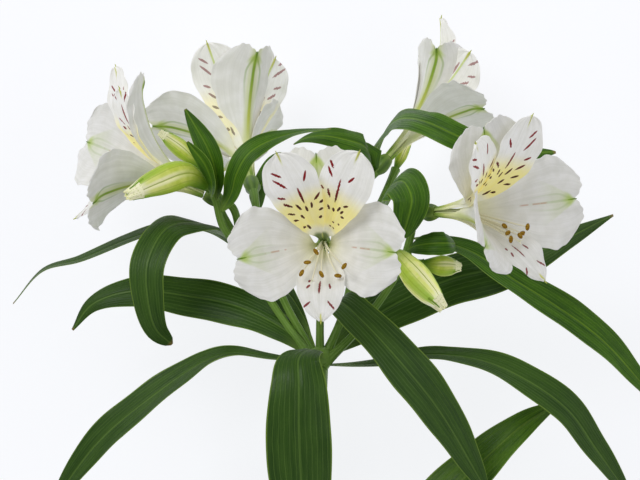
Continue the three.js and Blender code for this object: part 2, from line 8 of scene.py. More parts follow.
# %% Load the frame
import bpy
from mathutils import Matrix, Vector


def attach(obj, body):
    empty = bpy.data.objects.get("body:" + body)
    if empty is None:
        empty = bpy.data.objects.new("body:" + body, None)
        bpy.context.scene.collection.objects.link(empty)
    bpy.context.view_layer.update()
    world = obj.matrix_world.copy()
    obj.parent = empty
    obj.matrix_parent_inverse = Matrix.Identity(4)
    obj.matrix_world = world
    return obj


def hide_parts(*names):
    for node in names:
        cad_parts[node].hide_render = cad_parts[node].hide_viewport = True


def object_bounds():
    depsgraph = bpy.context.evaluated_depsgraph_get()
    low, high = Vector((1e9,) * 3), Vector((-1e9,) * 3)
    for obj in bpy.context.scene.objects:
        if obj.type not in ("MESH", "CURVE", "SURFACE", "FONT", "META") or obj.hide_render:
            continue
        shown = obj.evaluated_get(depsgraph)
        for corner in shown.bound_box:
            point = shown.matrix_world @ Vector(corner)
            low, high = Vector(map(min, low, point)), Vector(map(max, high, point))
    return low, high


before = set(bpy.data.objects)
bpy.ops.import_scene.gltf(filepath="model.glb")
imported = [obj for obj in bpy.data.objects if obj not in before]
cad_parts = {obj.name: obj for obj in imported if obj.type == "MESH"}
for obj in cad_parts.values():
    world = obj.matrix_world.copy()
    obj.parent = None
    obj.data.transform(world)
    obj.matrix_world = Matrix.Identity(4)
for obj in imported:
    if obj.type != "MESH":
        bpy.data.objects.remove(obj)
cad_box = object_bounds()
print("nodes in the frame:", len(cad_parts))

# %% The tools of this lesson
import math

import bmesh
import bpy
import numpy as np
from mathutils import Vector

# %% [markdown]
# ## Where things are
#
# Everything on the plant is measured from the whorl, the ring of leaves under the flowers: x to the
# right, y up the stem and z up from the table, in millimetres. Blender works in metres in the row's
# own frame, so one function moves a point from the first to the second.

# %% Millimetres and the whorl
MM = 0.001
WHORL = np.array([-6.0, 121.0, 62.4])


def placed(points):
    """Points round the whorl, in millimetres, as metres in the row's frame."""
    return (np.asarray(points, float) + WHORL) * MM


low, high = cad_box
print("the whole stem, in mm:", [round((b - a) / MM) for a, b in zip(low, high)])

# %% [markdown]
# ## Camera, table and light
#
# The camera stands two metres above the flowers with a long lens, as in a studio, so that near and
# far blooms keep their true proportions. A wide lens close by would swell the nearest petals. The
# camera comes first, because every piece after it is judged from there. The table is a plain sheet
# just under the lowest petals.

# %% Camera
EYE_HEIGHT = 2000.0
PICTURE_WIDTH = 640
MM_PER_PIXEL = 0.38
SENSOR = 36.0
PICTURE_CENTRE = [0.0, 44.5, EYE_HEIGHT]

camera = bpy.data.objects.new("camera", bpy.data.cameras.new("camera"))
bpy.context.scene.collection.objects.link(camera)
camera.data.sensor_width = SENSOR
camera.data.lens = SENSOR * EYE_HEIGHT / (PICTURE_WIDTH * MM_PER_PIXEL)
camera.location = placed(PICTURE_CENTRE)
bpy.context.scene.camera = camera
print("lens:", round(camera.data.lens), "mm")

# %% [markdown]
# ## Paint from arithmetic
#
# A procedural material is a sum: so much green where the vein runs, so much yellow in the throat.
# Written with Blender's node calls, a sum takes a page. So one small class holds a socket and lets
# Python's own signs work on it: `1 - vein` adds the Math node that subtracts. The signs are for
# numbers alone. Colours go through the paint's `mix` and a vector's length through Vector Math,
# because a Math node would turn them into a single number.

# %% A socket that does sums
class Wire:
    """A socket in a paint. Python's signs on it add the nodes that work out the result."""

    def __init__(self, paint, socket):
        self.paint = paint
        self.socket = socket

    def sum(self, operation, *others, other_first=False):
        numbers = (*others, self) if other_first else (self, *others)
        return self.paint.node("ShaderNodeMath", {"operation": operation}, dict(enumerate(numbers)))

    def __add__(self, other):
        return self.sum("ADD", other)

    def __radd__(self, other):
        return self.sum("ADD", other, other_first=True)

    def __sub__(self, other):
        return self.sum("SUBTRACT", other)

    def __rsub__(self, other):
        return self.sum("SUBTRACT", other, other_first=True)

    def __mul__(self, other):
        return self.sum("MULTIPLY", other)

    def __rmul__(self, other):
        return self.sum("MULTIPLY", other, other_first=True)

    def __abs__(self):
        return self.sum("ABSOLUTE")

    def greatest(self, other):
        return self.sum("MAXIMUM", other)

    def least(self, other):
        return self.sum("MINIMUM", other)

    def cosine(self):
        return self.sum("COSINE")

    def angle_from(self, other):
        return self.sum("ARCTAN2", other)

    def length(self):
        return self.paint.node("ShaderNodeVectorMath", {"operation": "LENGTH"}, {0: self}, "Value")

    def parts(self):
        """The three numbers of a vector."""
        return [self.paint.node("ShaderNodeSeparateXYZ", {}, {0: self}, axis) for axis in "XYZ"]

    def rise(self, start, end):
        """0 before start and 1 past end, smooth between them; start may be the greater one."""
        settings = {"interpolation_type": "SMOOTHSTEP"}
        ascending = start < end
        ends = (start, end) if ascending else (end, start)
        levels = (0.0, 1.0) if ascending else (1.0, 0.0)
        sockets = {0: self, 1: ends[0], 2: ends[1], 3: levels[0], 4: levels[1]}
        return self.paint.node("ShaderNodeMapRange", settings, sockets)


# %% A paint that makes the nodes
class Paint:
    """A material and its Principled shader."""

    def __init__(self, name, roughness=0.5, specular=0.4):
        self.material = bpy.data.materials.new(name)
        self.material.use_nodes = True
        self.tree = self.material.node_tree
        self.shader = self.tree.nodes["Principled BSDF"]
        self.feed(self.shader.inputs["Roughness"], roughness)
        self.feed(self.shader.inputs["Specular IOR Level"], specular)

    def feed(self, socket, value):
        """Links a wire to a socket, or sets the socket to a number, a vector or a colour."""
        if isinstance(value, Wire):
            self.tree.links.new(value.socket, socket)
        elif socket.type == "RGBA":
            socket.default_value = (*value, 1.0)
        else:
            socket.default_value = value

    def node(self, kind, settings, sockets, output=0):
        """Any node: its settings first, then its sockets by number or identifier."""
        node = self.tree.nodes.new(kind)
        for name, value in settings.items():
            setattr(node, name, value)
        names = {socket.identifier: socket for socket in node.inputs}
        for key, value in sockets.items():
            self.feed(node.inputs[key] if isinstance(key, int) else names[key], value)
        outputs = {socket.identifier: socket for socket in node.outputs}
        return Wire(self, node.outputs[output] if isinstance(output, int) else outputs[output])

    def attribute(self, name):
        return self.node("ShaderNodeAttribute", {"attribute_name": name}, {}, "Vector")

    def in_object(self):
        """Where a point lies, in metres."""
        return self.node("ShaderNodeTexCoord", {}, {}, "Object")

    def on_rod(self):
        """The angle round a rod, and the share of the way along it."""
        across, up, along = self.attribute("place").parts()
        return up.angle_from(across), along

    def noise(self, where, scale, detail=2.0):
        """Cloudy values between 0 and 1."""
        sockets = {"Vector": where, "Scale": scale, "Detail": detail}
        return self.node("ShaderNodeTexNoise", {}, sockets, "Fac")

    def mix(self, share, under, over):
        """The colour `over` laid on `under` as far as share says."""
        sockets = {"Factor_Float": share, "A_Color": under, "B_Color": over}
        return self.node("ShaderNodeMix", {"data_type": "RGBA"}, sockets, "Result_Color")

    def colour(self, value):
        self.feed(self.shader.inputs["Base Color"], value)

    def glow(self, colour, strength):
        """Light that the surface gives out by itself: a light box on the table, painted light on petals
        and buds.
        """
        self.feed(self.shader.inputs["Emission Color"], colour)
        self.feed(self.shader.inputs["Emission Strength"], strength)

    def relief(self, height, depth_mm):
        """Bumps of a given depth, from a wire of heights between 0 and 1."""
        sockets = {"Strength": 1.0, "Distance": depth_mm * MM, "Height": height}
        bump = self.node("ShaderNodeBump", {}, sockets)
        self.feed(self.shader.inputs["Normal"], bump)


def srgb(red, green, blue):
    """A colour as a screen shows it, 0 to 255, as the light that Blender reckons with."""
    shares = [value / 255 for value in (red, green, blue)]
    return tuple(v / 12.92 if v < 0.04045 else ((v + 0.055) / 1.055) ** 2.4 for v in shares)


PAPER_WHITE = srgb(248, 249, 252)
print("white paper reads", [round(v, 2) for v in PAPER_WHITE])

# %% [markdown]
# ## The studio
#
# White petals on a white ground show only by their shading, so the light is big and soft and comes
# a little from the upper left. A brighter lamp could make the table white, but it would bleach the
# petals too. So the table is a light box: it is grey, shines by itself, and fills the shadows.

# %% Table
TABLE_DEPTH = 1.2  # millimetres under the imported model, which leaves room for finer petals
TABLE_SIZE = 3.0  # metres
TABLE_GREY = srgb(126, 127, 130)
TABLE_GLOW = 0.86

bm = bmesh.new()
bmesh.ops.create_grid(bm, x_segments=1, y_segments=1, size=TABLE_SIZE / 2)
bmesh.ops.translate(bm, verts=bm.verts, vec=(0, 0, -TABLE_DEPTH * MM))
table = bpy.data.objects.new("table", bpy.data.meshes.new("table"))
bm.to_mesh(table.data)
bm.free()
bpy.context.scene.collection.objects.link(table)
table_paint = Paint("pale table", roughness=0.9, specular=0.1)
table_paint.colour(TABLE_GREY)
table_paint.glow(PAPER_WHITE, TABLE_GLOW)
table.data.materials.append(table_paint.material)

# %% Lights
SOFTBOXES = {
    "key": {"place": (-0.9, 1.2, 1.5), "size": 1.0, "watts": 15},
    "fill": {"place": (1.2, 0.1, 1.3), "size": 1.4, "watts": 4},
}
LIT_POINT = [0, 40, 0]
SKY_WHITE = srgb(250, 251, 255)
SKY = 0.4

for name, box in SOFTBOXES.items():
    light = bpy.data.lights.new(name, "AREA")
    light.shape = "DISK"
    light.size = box["size"]
    light.energy = box["watts"]
    lamp = bpy.data.objects.new(name, light)
    lamp.location = box["place"]
    aim = Vector(placed(LIT_POINT)) - Vector(box["place"])
    lamp.rotation_euler = aim.to_track_quat("-Z", "Y").to_euler()
    bpy.context.scene.collection.objects.link(lamp)

world = bpy.data.worlds.new("studio")
world.use_nodes = True
background = world.node_tree.nodes["Background"]
background.inputs["Color"].default_value = (*SKY_WHITE, 1.0)
background.inputs["Strength"].default_value = SKY
bpy.context.scene.world = world
bpy.context.scene.view_settings.view_transform = "Standard"
print("lights:", ", ".join(SOFTBOXES))

# %% [markdown]
# ## Lines and curves
#
# A stalk, a leaf's midrib and a petal's midline are all the same thing: a smooth line through a few
# points. The line is walked by its share of the length, so that 0.5 is always half way along.

# %% Routes
NEARBY = 0.004  # the small share of a length over which a direction is measured


class Route:
    """A smooth line through points (a centripetal Catmull-Rom spline)."""

    def __init__(self, points, per_span=60):
        points = np.asarray(points, float)
        posts = [2 * points[0] - points[1], *points, 2 * points[-1] - points[-2]]
        walk = []
        for before, start, end, after in zip(posts, posts[1:], posts[2:], posts[3:]):
            gaps = [math.sqrt(np.linalg.norm(b - a)) for a, b in
                    ((before, start), (start, end), (end, after))]
            leave = (start - before) / gaps[0] - (end - before) / (gaps[0] + gaps[1])
            leave = (leave + (end - start) / gaps[1]) * gaps[1]
            arrive = (end - start) / gaps[1] - (after - start) / (gaps[1] + gaps[2])
            arrive = (arrive + (after - end) / gaps[2]) * gaps[1]
            u = np.linspace(0, 1, per_span, endpoint=False)[:, None]
            bend = 3 * (end - start) - 2 * leave - arrive
            twist = 2 * (start - end) + leave + arrive
            walk.append(start + leave * u + bend * u**2 + twist * u**3)
        self.walk = np.vstack([*walk, points[-1:]])
        steps = np.linalg.norm(np.diff(self.walk, axis=0), axis=1)
        self.reach = np.concatenate([[0], np.cumsum(steps)])
        self.length = self.reach[-1]

    def at(self, share):
        distance = np.clip(share, 0, 1) * self.length
        return np.stack([np.interp(distance, self.reach, axis) for axis in self.walk.T], axis=-1)

    def heading(self, share):
        """The unit direction of travel."""
        ahead = self.at(np.minimum(share + NEARBY, 1)) - self.at(np.maximum(share - NEARBY, 0))
        return unit(ahead)


def unit(vectors):
    """Vectors made one long."""
    vectors = np.asarray(vectors, float)
    return vectors / np.linalg.norm(vectors, axis=-1, keepdims=True)


def smooth(x, start, end):
    """0 before start and 1 past end, smooth between them."""
    u = np.clip((x - start) / (end - start), 0, 1)
    return u * u * (3 - 2 * u)


# %% Profiles
def profile(points):
    """A smooth curve through (place, value) points."""
    place, value = np.array(points, float).T
    last = len(place) - 1
    before = np.maximum(np.arange(last + 1) - 1, 0)
    after = np.minimum(np.arange(last + 1) + 1, last)
    slope = (value[after] - value[before]) / (place[after] - place[before])

    def curve(x):
        i = np.clip(np.searchsorted(place, x), 1, last)
        span = place[i] - place[i - 1]
        u = np.clip((x - place[i - 1]) / span, 0, 1)
        rise = u * u * (3 - 2 * u)
        curl = u * (1 - u) * ((1 - u) * slope[i - 1] - u * slope[i]) * span
        return value[i - 1] + (value[i] - value[i - 1]) * rise + curl

    return curve


print("half way along a bend:", Route([[0, 0, 0], [3, 1, 0], [4, 4, 0]]).at(0.5).round(2))

# %% [markdown]
# ## Rods and blades
#
# Two kinds of shape make the whole plant. A rod is a cone primitive cut into rings, whose rings are
# then laid along a route: stalks, ovaries, buds and threads. A blade is a flat card, cut from a grid
# and given its two skins while it is still flat, and then bent: leaves and petals. Both are made
# flat and straight first, because there it is easy to say how far along and how far across each
# point lies. That stays on the points as an attribute called `place`, and a second one, `pattern`,
# holds millimetres, for patterns that mustn't stretch. The paints read both.

# %% Two attributes
def with_layers(bm):
    """Gives a bmesh the two attributes that the paints read, where it lacks them."""
    layers = bm.verts.layers.float_vector
    return [layers.get(name) or layers.new(name) for name in ("place", "pattern")]


# %% Rods
FIRST_ACROSS = [0.3, 0.2, 0.93]  # a direction that no rod starts in


def carried(route, shares):
    """Two directions across the route at each share, turning no more than they have to."""
    rows = np.unique(shares)
    heading = route.heading(rows)
    normal = np.cross(heading[0], FIRST_ACROSS)
    normals = []
    for direction in heading:
        normal = unit(normal - direction * (normal @ direction))
        normals.append(normal)
    row = np.searchsorted(rows, shares)
    normals = np.array(normals)[row]
    return normals, np.cross(heading[row], normals)


def rod(points, radius, sides, rings):
    """A closed rod. radius(t, angle) is in millimetres."""
    bm = bmesh.new()
    bmesh.ops.create_cone(bm, cap_ends=True, segments=sides, radius1=1, radius2=1, depth=1)
    upright = [edge for edge in bm.edges if abs(edge.verts[0].co.z - edge.verts[1].co.z) > 0.5]
    bmesh.ops.subdivide_edges(bm, edges=upright, cuts=rings - 1, use_grid_fill=True)
    co = np.array([vert.co for vert in bm.verts])
    t = np.round(co[:, 2] + 0.5, 6)
    angle = np.arctan2(co[:, 1], co[:, 0])
    route = points if isinstance(points, Route) else Route(points)
    normal, binormal = carried(route, t)
    across = normal * np.cos(angle)[:, None] + binormal * np.sin(angle)[:, None]
    where = route.at(t) + across * np.asarray(radius(t, angle))[:, None]
    place, pattern = with_layers(bm)
    for vert, point, a, share in zip(bm.verts, where, angle, t):
        vert.co = point
        vert[place] = (math.cos(a), math.sin(a), share)
        vert[pattern] = point
    return bm


# %% Blades
CARD_THICKNESS = 0.5


def card(across, along, toward_tip=1.0):
    """A flat card with two skins and a rim, and the place of each of its vertices."""
    bm = bmesh.new()
    bmesh.ops.create_grid(bm, x_segments=across, y_segments=along, size=1)
    bmesh.ops.solidify(bm, geom=bm.faces[:], thickness=CARD_THICKNESS)
    co = np.array([vert.co for vert in bm.verts])
    s = np.clip(co[:, 0], -1, 1)
    t = 1 - (1 - np.clip((co[:, 1] + 1) / 2, 0, 1)) ** toward_tip
    side = np.where(np.abs(co[:, 2]) < CARD_THICKNESS / 2, 1.0, -1.0)
    return bm, s, t, side


def blade(surface, thickness, across, along, flat, toward_tip=1.0):
    """A blade: surface(s, t) is its middle and thickness(s, t) is in millimetres."""
    bm, s, t, side = card(across, along, toward_tip)
    over_width = surface(s + NEARBY, t) - surface(s - NEARBY, t)
    over_length = surface(s, np.minimum(t + NEARBY, 1)) - surface(s, np.maximum(t - NEARBY, 0))
    normal = unit(np.cross(over_width, over_length))
    where = surface(s, t) + normal * (side * thickness(s, t) / 2)[:, None]
    place, pattern = with_layers(bm)
    for vert, point, a, b, c in zip(bm.verts, where, s, t, side):
        vert.co = point
        vert[place] = (a, b, c)
        vert[pattern] = flat(a, b)
    return bm


# %% Gathering and finishing
SHARP = 0.9  # radians between two faces, past which their edge isn't smoothed


def gathered(parts):
    """Several bmeshes as one. Each part is (bmesh, number of its material, or None to keep it)."""
    whole = bmesh.new()
    with_layers(whole)
    for part, material in parts:
        bmesh.ops.recalc_face_normals(part, faces=part.faces)
        for face in part.faces:
            face.smooth = True
            if material is not None:
                face.material_index = material
        for edge in part.edges:
            edge.smooth = edge.calc_face_angle(0) < SHARP
        mesh = bpy.data.meshes.new("part")
        part.to_mesh(mesh)
        part.free()
        whole.from_mesh(mesh)
        bpy.data.meshes.remove(mesh)
    return whole


def finished(name, node, slot, parts, paints, to_row=placed):
    """Puts a gathered piece in its place, in the stead of its CAD node."""
    bm = gathered(parts)
    where = to_row(np.array([vert.co for vert in bm.verts]))
    for vert, point in zip(bm.verts, where):
        vert.co = point
    piece = bpy.data.objects.new(name, bpy.data.meshes.new(name))
    bm.to_mesh(piece.data)
    bm.free()
    for paint in paints:
        piece.data.materials.append(paint.material)
    bpy.context.scene.collection.objects.link(piece)
    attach(piece, "root")
    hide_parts(node)
    return piece


print("a test rod has", len(rod([[0, 0, 0], [0, 5, 0]], lambda t, a: 1 + 0 * t, 8, 4).verts), "points")

# %% [markdown]
# ## Where everything grows
#
# Every bloom, bud and leaf of a real stem takes its own way to the light, so none can be worked out
# from another. They could be drawn as curves in the editor, but a table of a few points and widths
# says the same, and can be read and changed here. Each point is in millimetres round the whorl.

# %% The blooms
# The ray is the way from the node to the flower, base and axis stand the flower on it, and up is the
# side of the upper tepals. A mouth or a bunch under 1 draws the stamens in. Each tepal has its kind,
# its turn in degrees, how wide it opens, how long it is, and how much it folds and rolls, if it does.
BLOOMS = {
    "front": {
        "ray": [[0, -2, 1], [0, 12, -1], [0.5, 30, -5], [1.6, 39.5, -8]],
        "base": [1.5, 43, 6],
        "axis": [-0.05, 0.02, 1],
        "up": [0, 1, 0],
        "mouth": 1, "bunch": 1,
        "tepals": [["outer", 92, 0.98, 0.94], ["outer", 192, 0.92, 1], ["outer", 352, 0.87, 1],
                   ["inner", 115, 1.05, 1], ["inner", 65, 1.07, 1], ["lower", 272, 1.05, 1]],
    },
    "right": {
        "ray": [[1, -3, 1], [14, 10, 0], [30, 33, -2], [34.5, 46, -2]],
        "base": [44, 55, 9],
        "axis": [0.72, 0.02, 0.69],
        "up": [-0.28, 0.93, 0.26],
        "mouth": 1, "bunch": 0.55,
        "tepals": [["outer", 96, 1.02, 0.98, 0, -28], ["outer", 192, 0.77, 1.08, 0.1],
                   ["outer", 345, 1, 1.02], ["inner", 115, 1.05, 0.93, 0, 12], ["inner", 66, 1.02, 1],
                   ["lower", 271, 1.03, 1]],
    },
    "left": {
        "ray": [[-29, 38.5, -4.5], [-31, 45, -5.5], [-31.5, 52, -4]],
        "base": [-43.5, 62, 0],
        "axis": [-0.9, 0.43, 0.04],
        "up": [0.43, 0.9, 0.1],
        "mouth": 0.85, "bunch": 0.8,
        "tepals": [["outer", 98, 0.87, 1, 0.3, -6], ["outer", 189, 0.84, 1.23, 0.19, -11],
                   ["outer", 323, 0.94, 0.93, 0.06, 33], ["inner", 114, 0.88, 1.08, 0, 30],
                   ["inner", 85, 0.63, 0.97, 0, 60], ["lower", 264, 1.07, 0.92]],
    },
    "back_left": {
        "ray": [[-1, -2, -2], [-6, 7, -6], [-14, 22, -7], [-22, 44, -5], [-24, 54.5, -2.2]],
        "base": [-26.5, 67.5, -15],
        "axis": [-0.15, 0.6, -0.79],
        "up": [0.17, 0.77, 0.62],
        "mouth": 0.75, "bunch": 0.8,
        "tepals": [["outer", 96, 0.94, 1.02, 0.6, 13], ["outer", 196, 0.48, 0.95, 0.13, -4],
                   ["outer", 346, 0.96, 1.1], ["inner", 63, 0.97, 1], ["inner", 114, 0.83, 0.93],
                   ["lower", 272, 0.9, 0.94]],
    },
    "back_right": {
        "ray": [[1, -2, -1], [9, 17, -4], [14, 42, -16], [15.4, 55, -26], [16.6, 62.5, -28.6]],
        "base": [26, 76, -31.87],
        "axis": [0.63, 0.71, -0.3],
        "up": [-0.3, 0.6, 0.74],
        "mouth": 0.42, "bunch": 0.8,
        "tepals": [["outer", 90, 0.68, 1.03, 0.95, 40], ["outer", 181, 0.58, 0.95],
                   ["outer", 333, 0.42, 1.15, 0.2], ["inner", 72, 0.7, 1.1, 0.6, -40],
                   ["inner", 119, 0.55, 1, 0.1], ["lower", 265, 0.88, 0.95]],
    },
}
print("tepals:", sum(len(bloom["tepals"]) for bloom in BLOOMS.values()))

# %% The buds
# The spine is the bud's middle line, radius its greatest radius, and peak the share where that is.
BUDS = {
    "left": {
        "ray": [[-1, -3, -1], [-6, 3, -3], [-18, 20, -8], [-30, 40, -4], [-37, 50, 1],
                [-39.5, 59.5, 5.5]],
        "spine": [[-43.5, 64.9, 9.2], [-51, 69, 16], [-62, 66, 21], [-72, 61.5, 26]],
        "radius": 5.6, "peak": 0.45,
    },
    "left_back": {
        "ray": [[-32, 45, -4.2], [-38, 56, -8], [-42, 65, -9.5]],
        "spine": [[-45.2, 71.4, -10.4], [-53, 79, -12], [-61, 85.5, -14]],
        "radius": 3.4, "peak": 0.5,
    },
    "right": {
        "ray": [[29, 32, -1.4], [27.2, 36, 3]],
        "spine": [[28.4, 39.8, 8.6], [31, 37, 14], [38, 28, 18.5], [46, 19, 19.5]],
        "radius": 5.4, "peak": 0.5,
    },
    "right_small": {
        "ray": [[33, 40, -1.8], [34, 37.5, -2.4]],
        "spine": [[38.9, 35.6, -3.1], [46, 34.6, -4], [53.5, 34, -4.5]],
        "radius": 4, "peak": 0.5,
    },
    "hidden": {
        "ray": [[14, 40, -15], [19, 50, -22], [24, 60, -31]],
        "spine": [[29.2, 71.6, -39.4], [31.5, 77, -43], [35, 83, -46]],
        "radius": 2.2, "peak": 0.45,
    },
}
print("thickest bud, mm:", 2 * max(bud["radius"] for bud in BUDS.values()))

# %% The leaves of the whorl
# The spine is the midrib from foot to tip, and faces are where the upper face looks on the way. The
# leaf is widest at its peak, a cup over 0 lifts its edges, and wave is the height of their waves.
WHORL_LEAVES = {
    "front": {
        "spine": [[0, -1, 2], [-3, 3, 9], [-8, 0, 19], [-8, -10, 24], [-8, -27, 22], [-7, -50, 14],
                  [-5, -77, 4]],
        "faces": [[0, 1, 0], [0, 0.9, 0.5], [0.1, 0.1, 1], [0.1, 0, 1], [0, 0, 1]],
        "width": 25, "peak": 0.55, "cup": -0.12, "wave": 0.4,
    },
    "left_low": {
        "spine": [[-2, -2, 1], [-19, 0, 8], [-32, 2, 10], [-43, -1, 10], [-64, -15, 8], [-84, -32, 2],
                  [-103, -57, -8]],
        "faces": [[0, 1, 0.25], [0, 1, 0.4], [0, 0.7, 1], [-0.2, 0.4, 1]],
        "width": 14, "peak": 0.52, "cup": 0.15, "wave": 0.3,
    },
    "left_broad": {
        "spine": [[-3, 1, -2], [-13, 10, -5], [-31, 19, -11], [-50, 23, -14], [-71, 25, -14],
                  [-87, 20, -16], [-95, 10, -20]],
        "faces": [[-0.3, 0.8, 0.6], [0, 0.6, 1], [0, 0.4, 1], [0, 0.5, 1]],
        "width": 17, "peak": 0.42, "cup": -0.12, "wave": 0.5,
    },
    "left_long": {
        "spine": [[-2.5, 2, -6], [-11, 18, -21], [-23, 35, -28], [-38, 46, -28], [-54, 50, -23],
                  [-73, 45, -18], [-92, 37, -16], [-106, 33, -18], [-118, 20, -24]],
        "faces": [[-0.6, 0.6, 0.5], [-0.4, 1, 0.3], [0, 1, 0.35], [0, 1, 0.45]],
        "width": 12, "peak": 0.4, "cup": 0.1, "wave": 0.2,
    },
    "left_hanging": {
        "spine": [[-2, 3, -3.5], [-10, 15, -13.5], [-22, 31, -19], [-35, 46, -14], [-47, 51, 0],
                  [-58, 49, 12], [-65, 36, 19], [-65, 23, 19], [-62, 11, 14], [-56, 5, 8]],
        "faces": [[-0.6, 0.6, 0.5], [-0.3, 1, 0.3], [-0.2, 1, 0.3], [-0.5, 0.4, 1], [-0.3, 0, 1],
                  [0, 0, 1]],
        "width": 15, "peak": 0.6, "cup": -0.12, "wave": 0.4,
    },
    "right_low": {
        "spine": [[1, -3, 0], [13, -3, 1], [25, -2, 2], [40, 1, 4], [61, -1, 7], [79, -9, 8],
                  [94, -20, 6], [105, -35, 0], [118, -53, -8]],
        "faces": [[0, 1, 0.3], [0, 1, 0.5], [0, 0.6, 1], [0.3, 0.6, 1]],
        "width": 13.5, "peak": 0.58, "cup": 0.12, "wave": 0.3,
    },
    "right_broad": {
        "spine": [[2, 1, -4], [19, 14, -14], [35, 23, -20], [52, 30, -22], [69, 34, -20],
                  [86, 41, -16], [112, 54, -10]],
        "faces": [[0.3, 0.8, 0.6], [-0.1, 0.6, 1], [-0.2, 0.4, 1], [-0.3, 0.7, 1]],
        "width": 22, "peak": 0.42, "cup": -0.1, "wave": 0.5,
    },
    "right_front": {
        "spine": [[8.6, 16, -3.4], [5, 19, 5], [8, 21, 17], [16, 14, 23], [29, 0, 22], [45, -20, 13],
                  [64, -52, 0]],
        "faces": [[-0.6, 1, 0.2], [-0.3, 1, 0.5], [0.3, 0.4, 1], [0.4, 0.3, 1], [0.3, 0.2, 1]],
        "width": 19, "peak": 0.5, "cup": 0.1, "wave": 0.35,
    },
    "back": {
        "spine": [[0, -4, -3], [-4, 1, -14], [-7, -12, -26], [-9, -38, -36], [-7, -72, -46]],
        "faces": [[0, 1, 0], [0, 1, -0.6], [0.1, 0.3, -1], [0, 0, -1]],
        "width": 17, "peak": 0.5, "cup": -0.1, "wave": 0.4,
    },
}
print("front leaf, mm long:", round(Route(WHORL_LEAVES["front"]["spine"]).length))

# %% The small leaves among the flowers
FLOWER_LEAVES = {
    "right_upper": {
        "spine": [[35.5, 45, 0], [46, 44, -4], [58, 40, -4], [73, 30, -3], [89, 20, -4], [107, 7, -7],
                  [122, -9, -14], [130, -19, -20]],
        "faces": [[0, 1, 0.6], [0.2, 0.8, 1], [0.3, 0.5, 1], [0.3, 0.4, 1]],
        "width": 14, "peak": 0.5, "cup": 0.12, "wave": 0.3,
    },
    "left_upright": {
        "spine": [[-39.2, 59.6, 7.6], [-39, 67, 10.5], [-41.5, 77, 12], [-51, 94, 9]],
        "faces": [[-0.9, 0.3, 1], [-0.4, 0.3, 1], [-0.3, 0.2, 1]],
        "width": 9, "peak": 0.45, "cup": 0.12, "wave": 0.1,
    },
    "left_small": {
        "spine": [[-41.2, 60.6, 9.6], [-40.8, 66, 15], [-43.4, 73, 18.5], [-50, 81.5, 19]],
        "faces": [[-1, 0, 1], [-0.8, 0.3, 1], [-0.6, 0.3, 1]],
        "width": 6, "peak": 0.45, "cup": 0.15, "wave": 0.1,
    },
    "left_arching": {
        "spine": [[-37.2, 55.5, 6.4], [-33.6, 62, 12.4], [-31.5, 69.5, 16.4], [-27, 77, 17.4],
                  [-19, 82, 15.5], [-9, 85, 14], [4, 86.5, 12]],
        "faces": [[-0.3, 0.1, 1], [-0.4, 0.3, 1], [-0.3, 0.6, 1], [0, 1, 0.5], [0, 1, 0.3]],
        "width": 9.5, "peak": 0.42, "cup": 0.1, "wave": 0.2,
    },
    "right_arching": {
        "spine": [[15.6, 57.6, -27.6], [14, 66, -18], [18.5, 76, -6], [17, 80, 1], [10, 82.5, 4.5],
                  [1, 84, 4], [-6, 83, 1], [-10, 81, -2]],
        "faces": [[-0.8, 0, 1], [-0.7, 0.3, 0.8], [0.4, 0.7, 1], [0, 0.6, 1], [0, 0.9, 0.7]],
        "width": 12, "peak": 0.45, "cup": -0.1, "wave": 0.3,
    },
    "left_inner": {
        "spine": [[-23.8, 55, -3.4], [-24, 58.5, -10], [-23.8, 62.5, -17], [-21.8, 67.5, -20.5],
                  [-18.5, 73.5, -20.5], [-14, 77.5, -17.5]],
        "faces": [[0, 0.8, 0.5], [0, 0.8, 0.6], [-0.3, 0.5, 0.8], [0, 0.3, 1]],
        "width": 7, "peak": 0.6, "cup": 0.1, "wave": 0.1,
    },
    "middle_folded": {
        "spine": [[19.6, 50.8, -22.4], [23.5, 57, -11], [27, 65, 2], [31.5, 66.5, 11],
                  [34.5, 60, 17.5], [33, 52, 17.5], [30.8, 45, 14.5]],
        "faces": [[-0.8, 1, 0.2], [-0.6, 1, 0.4], [0, 0.6, 1], [0.2, 0.1, 1], [0.2, -0.1, 1]],
        "width": 16, "peak": 0.58, "cup": -0.16, "wave": 0.3,
    },
    "right_folded": {
        "spine": [[16.6, 61, -29.4], [17.4, 65.5, -34.4], [19.6, 76, -37.4], [23.5, 84, -31],
                  [28.5, 90, -20], [34, 91, -9], [41.5, 89, 1], [52, 84, 5.5], [68, 78, 0],
                  [90, 78, -9]],
        "faces": [[-0.3, 0, -1], [-0.8, 0.3, -0.6], [-0.8, 0.5, 0.2], [-0.3, 0.8, 0.6], [0, 0.5, 1],
                  [0, 0.5, 1], [0, 0.6, 1]],
        "width": 12, "peak": 0.52, "cup": -0.1, "wave": 0.3,
    },
    "right_small": {
        "spine": [[33.4, 41, -1], [37, 42.5, 4], [42, 43.2, 7], [48, 43.4, 7], [51.2, 43.2, 1.5]],
        "faces": [[-0.5, 0.6, 1], [0, 0.4, 1], [0.4, 0.4, 1], [1, 0.4, 0.2]],
        "width": 9.5, "peak": 0.6, "cup": -0.1, "wave": 0.1,
    },
}
print("leaves among the flowers:", len(FLOWER_LEAVES))

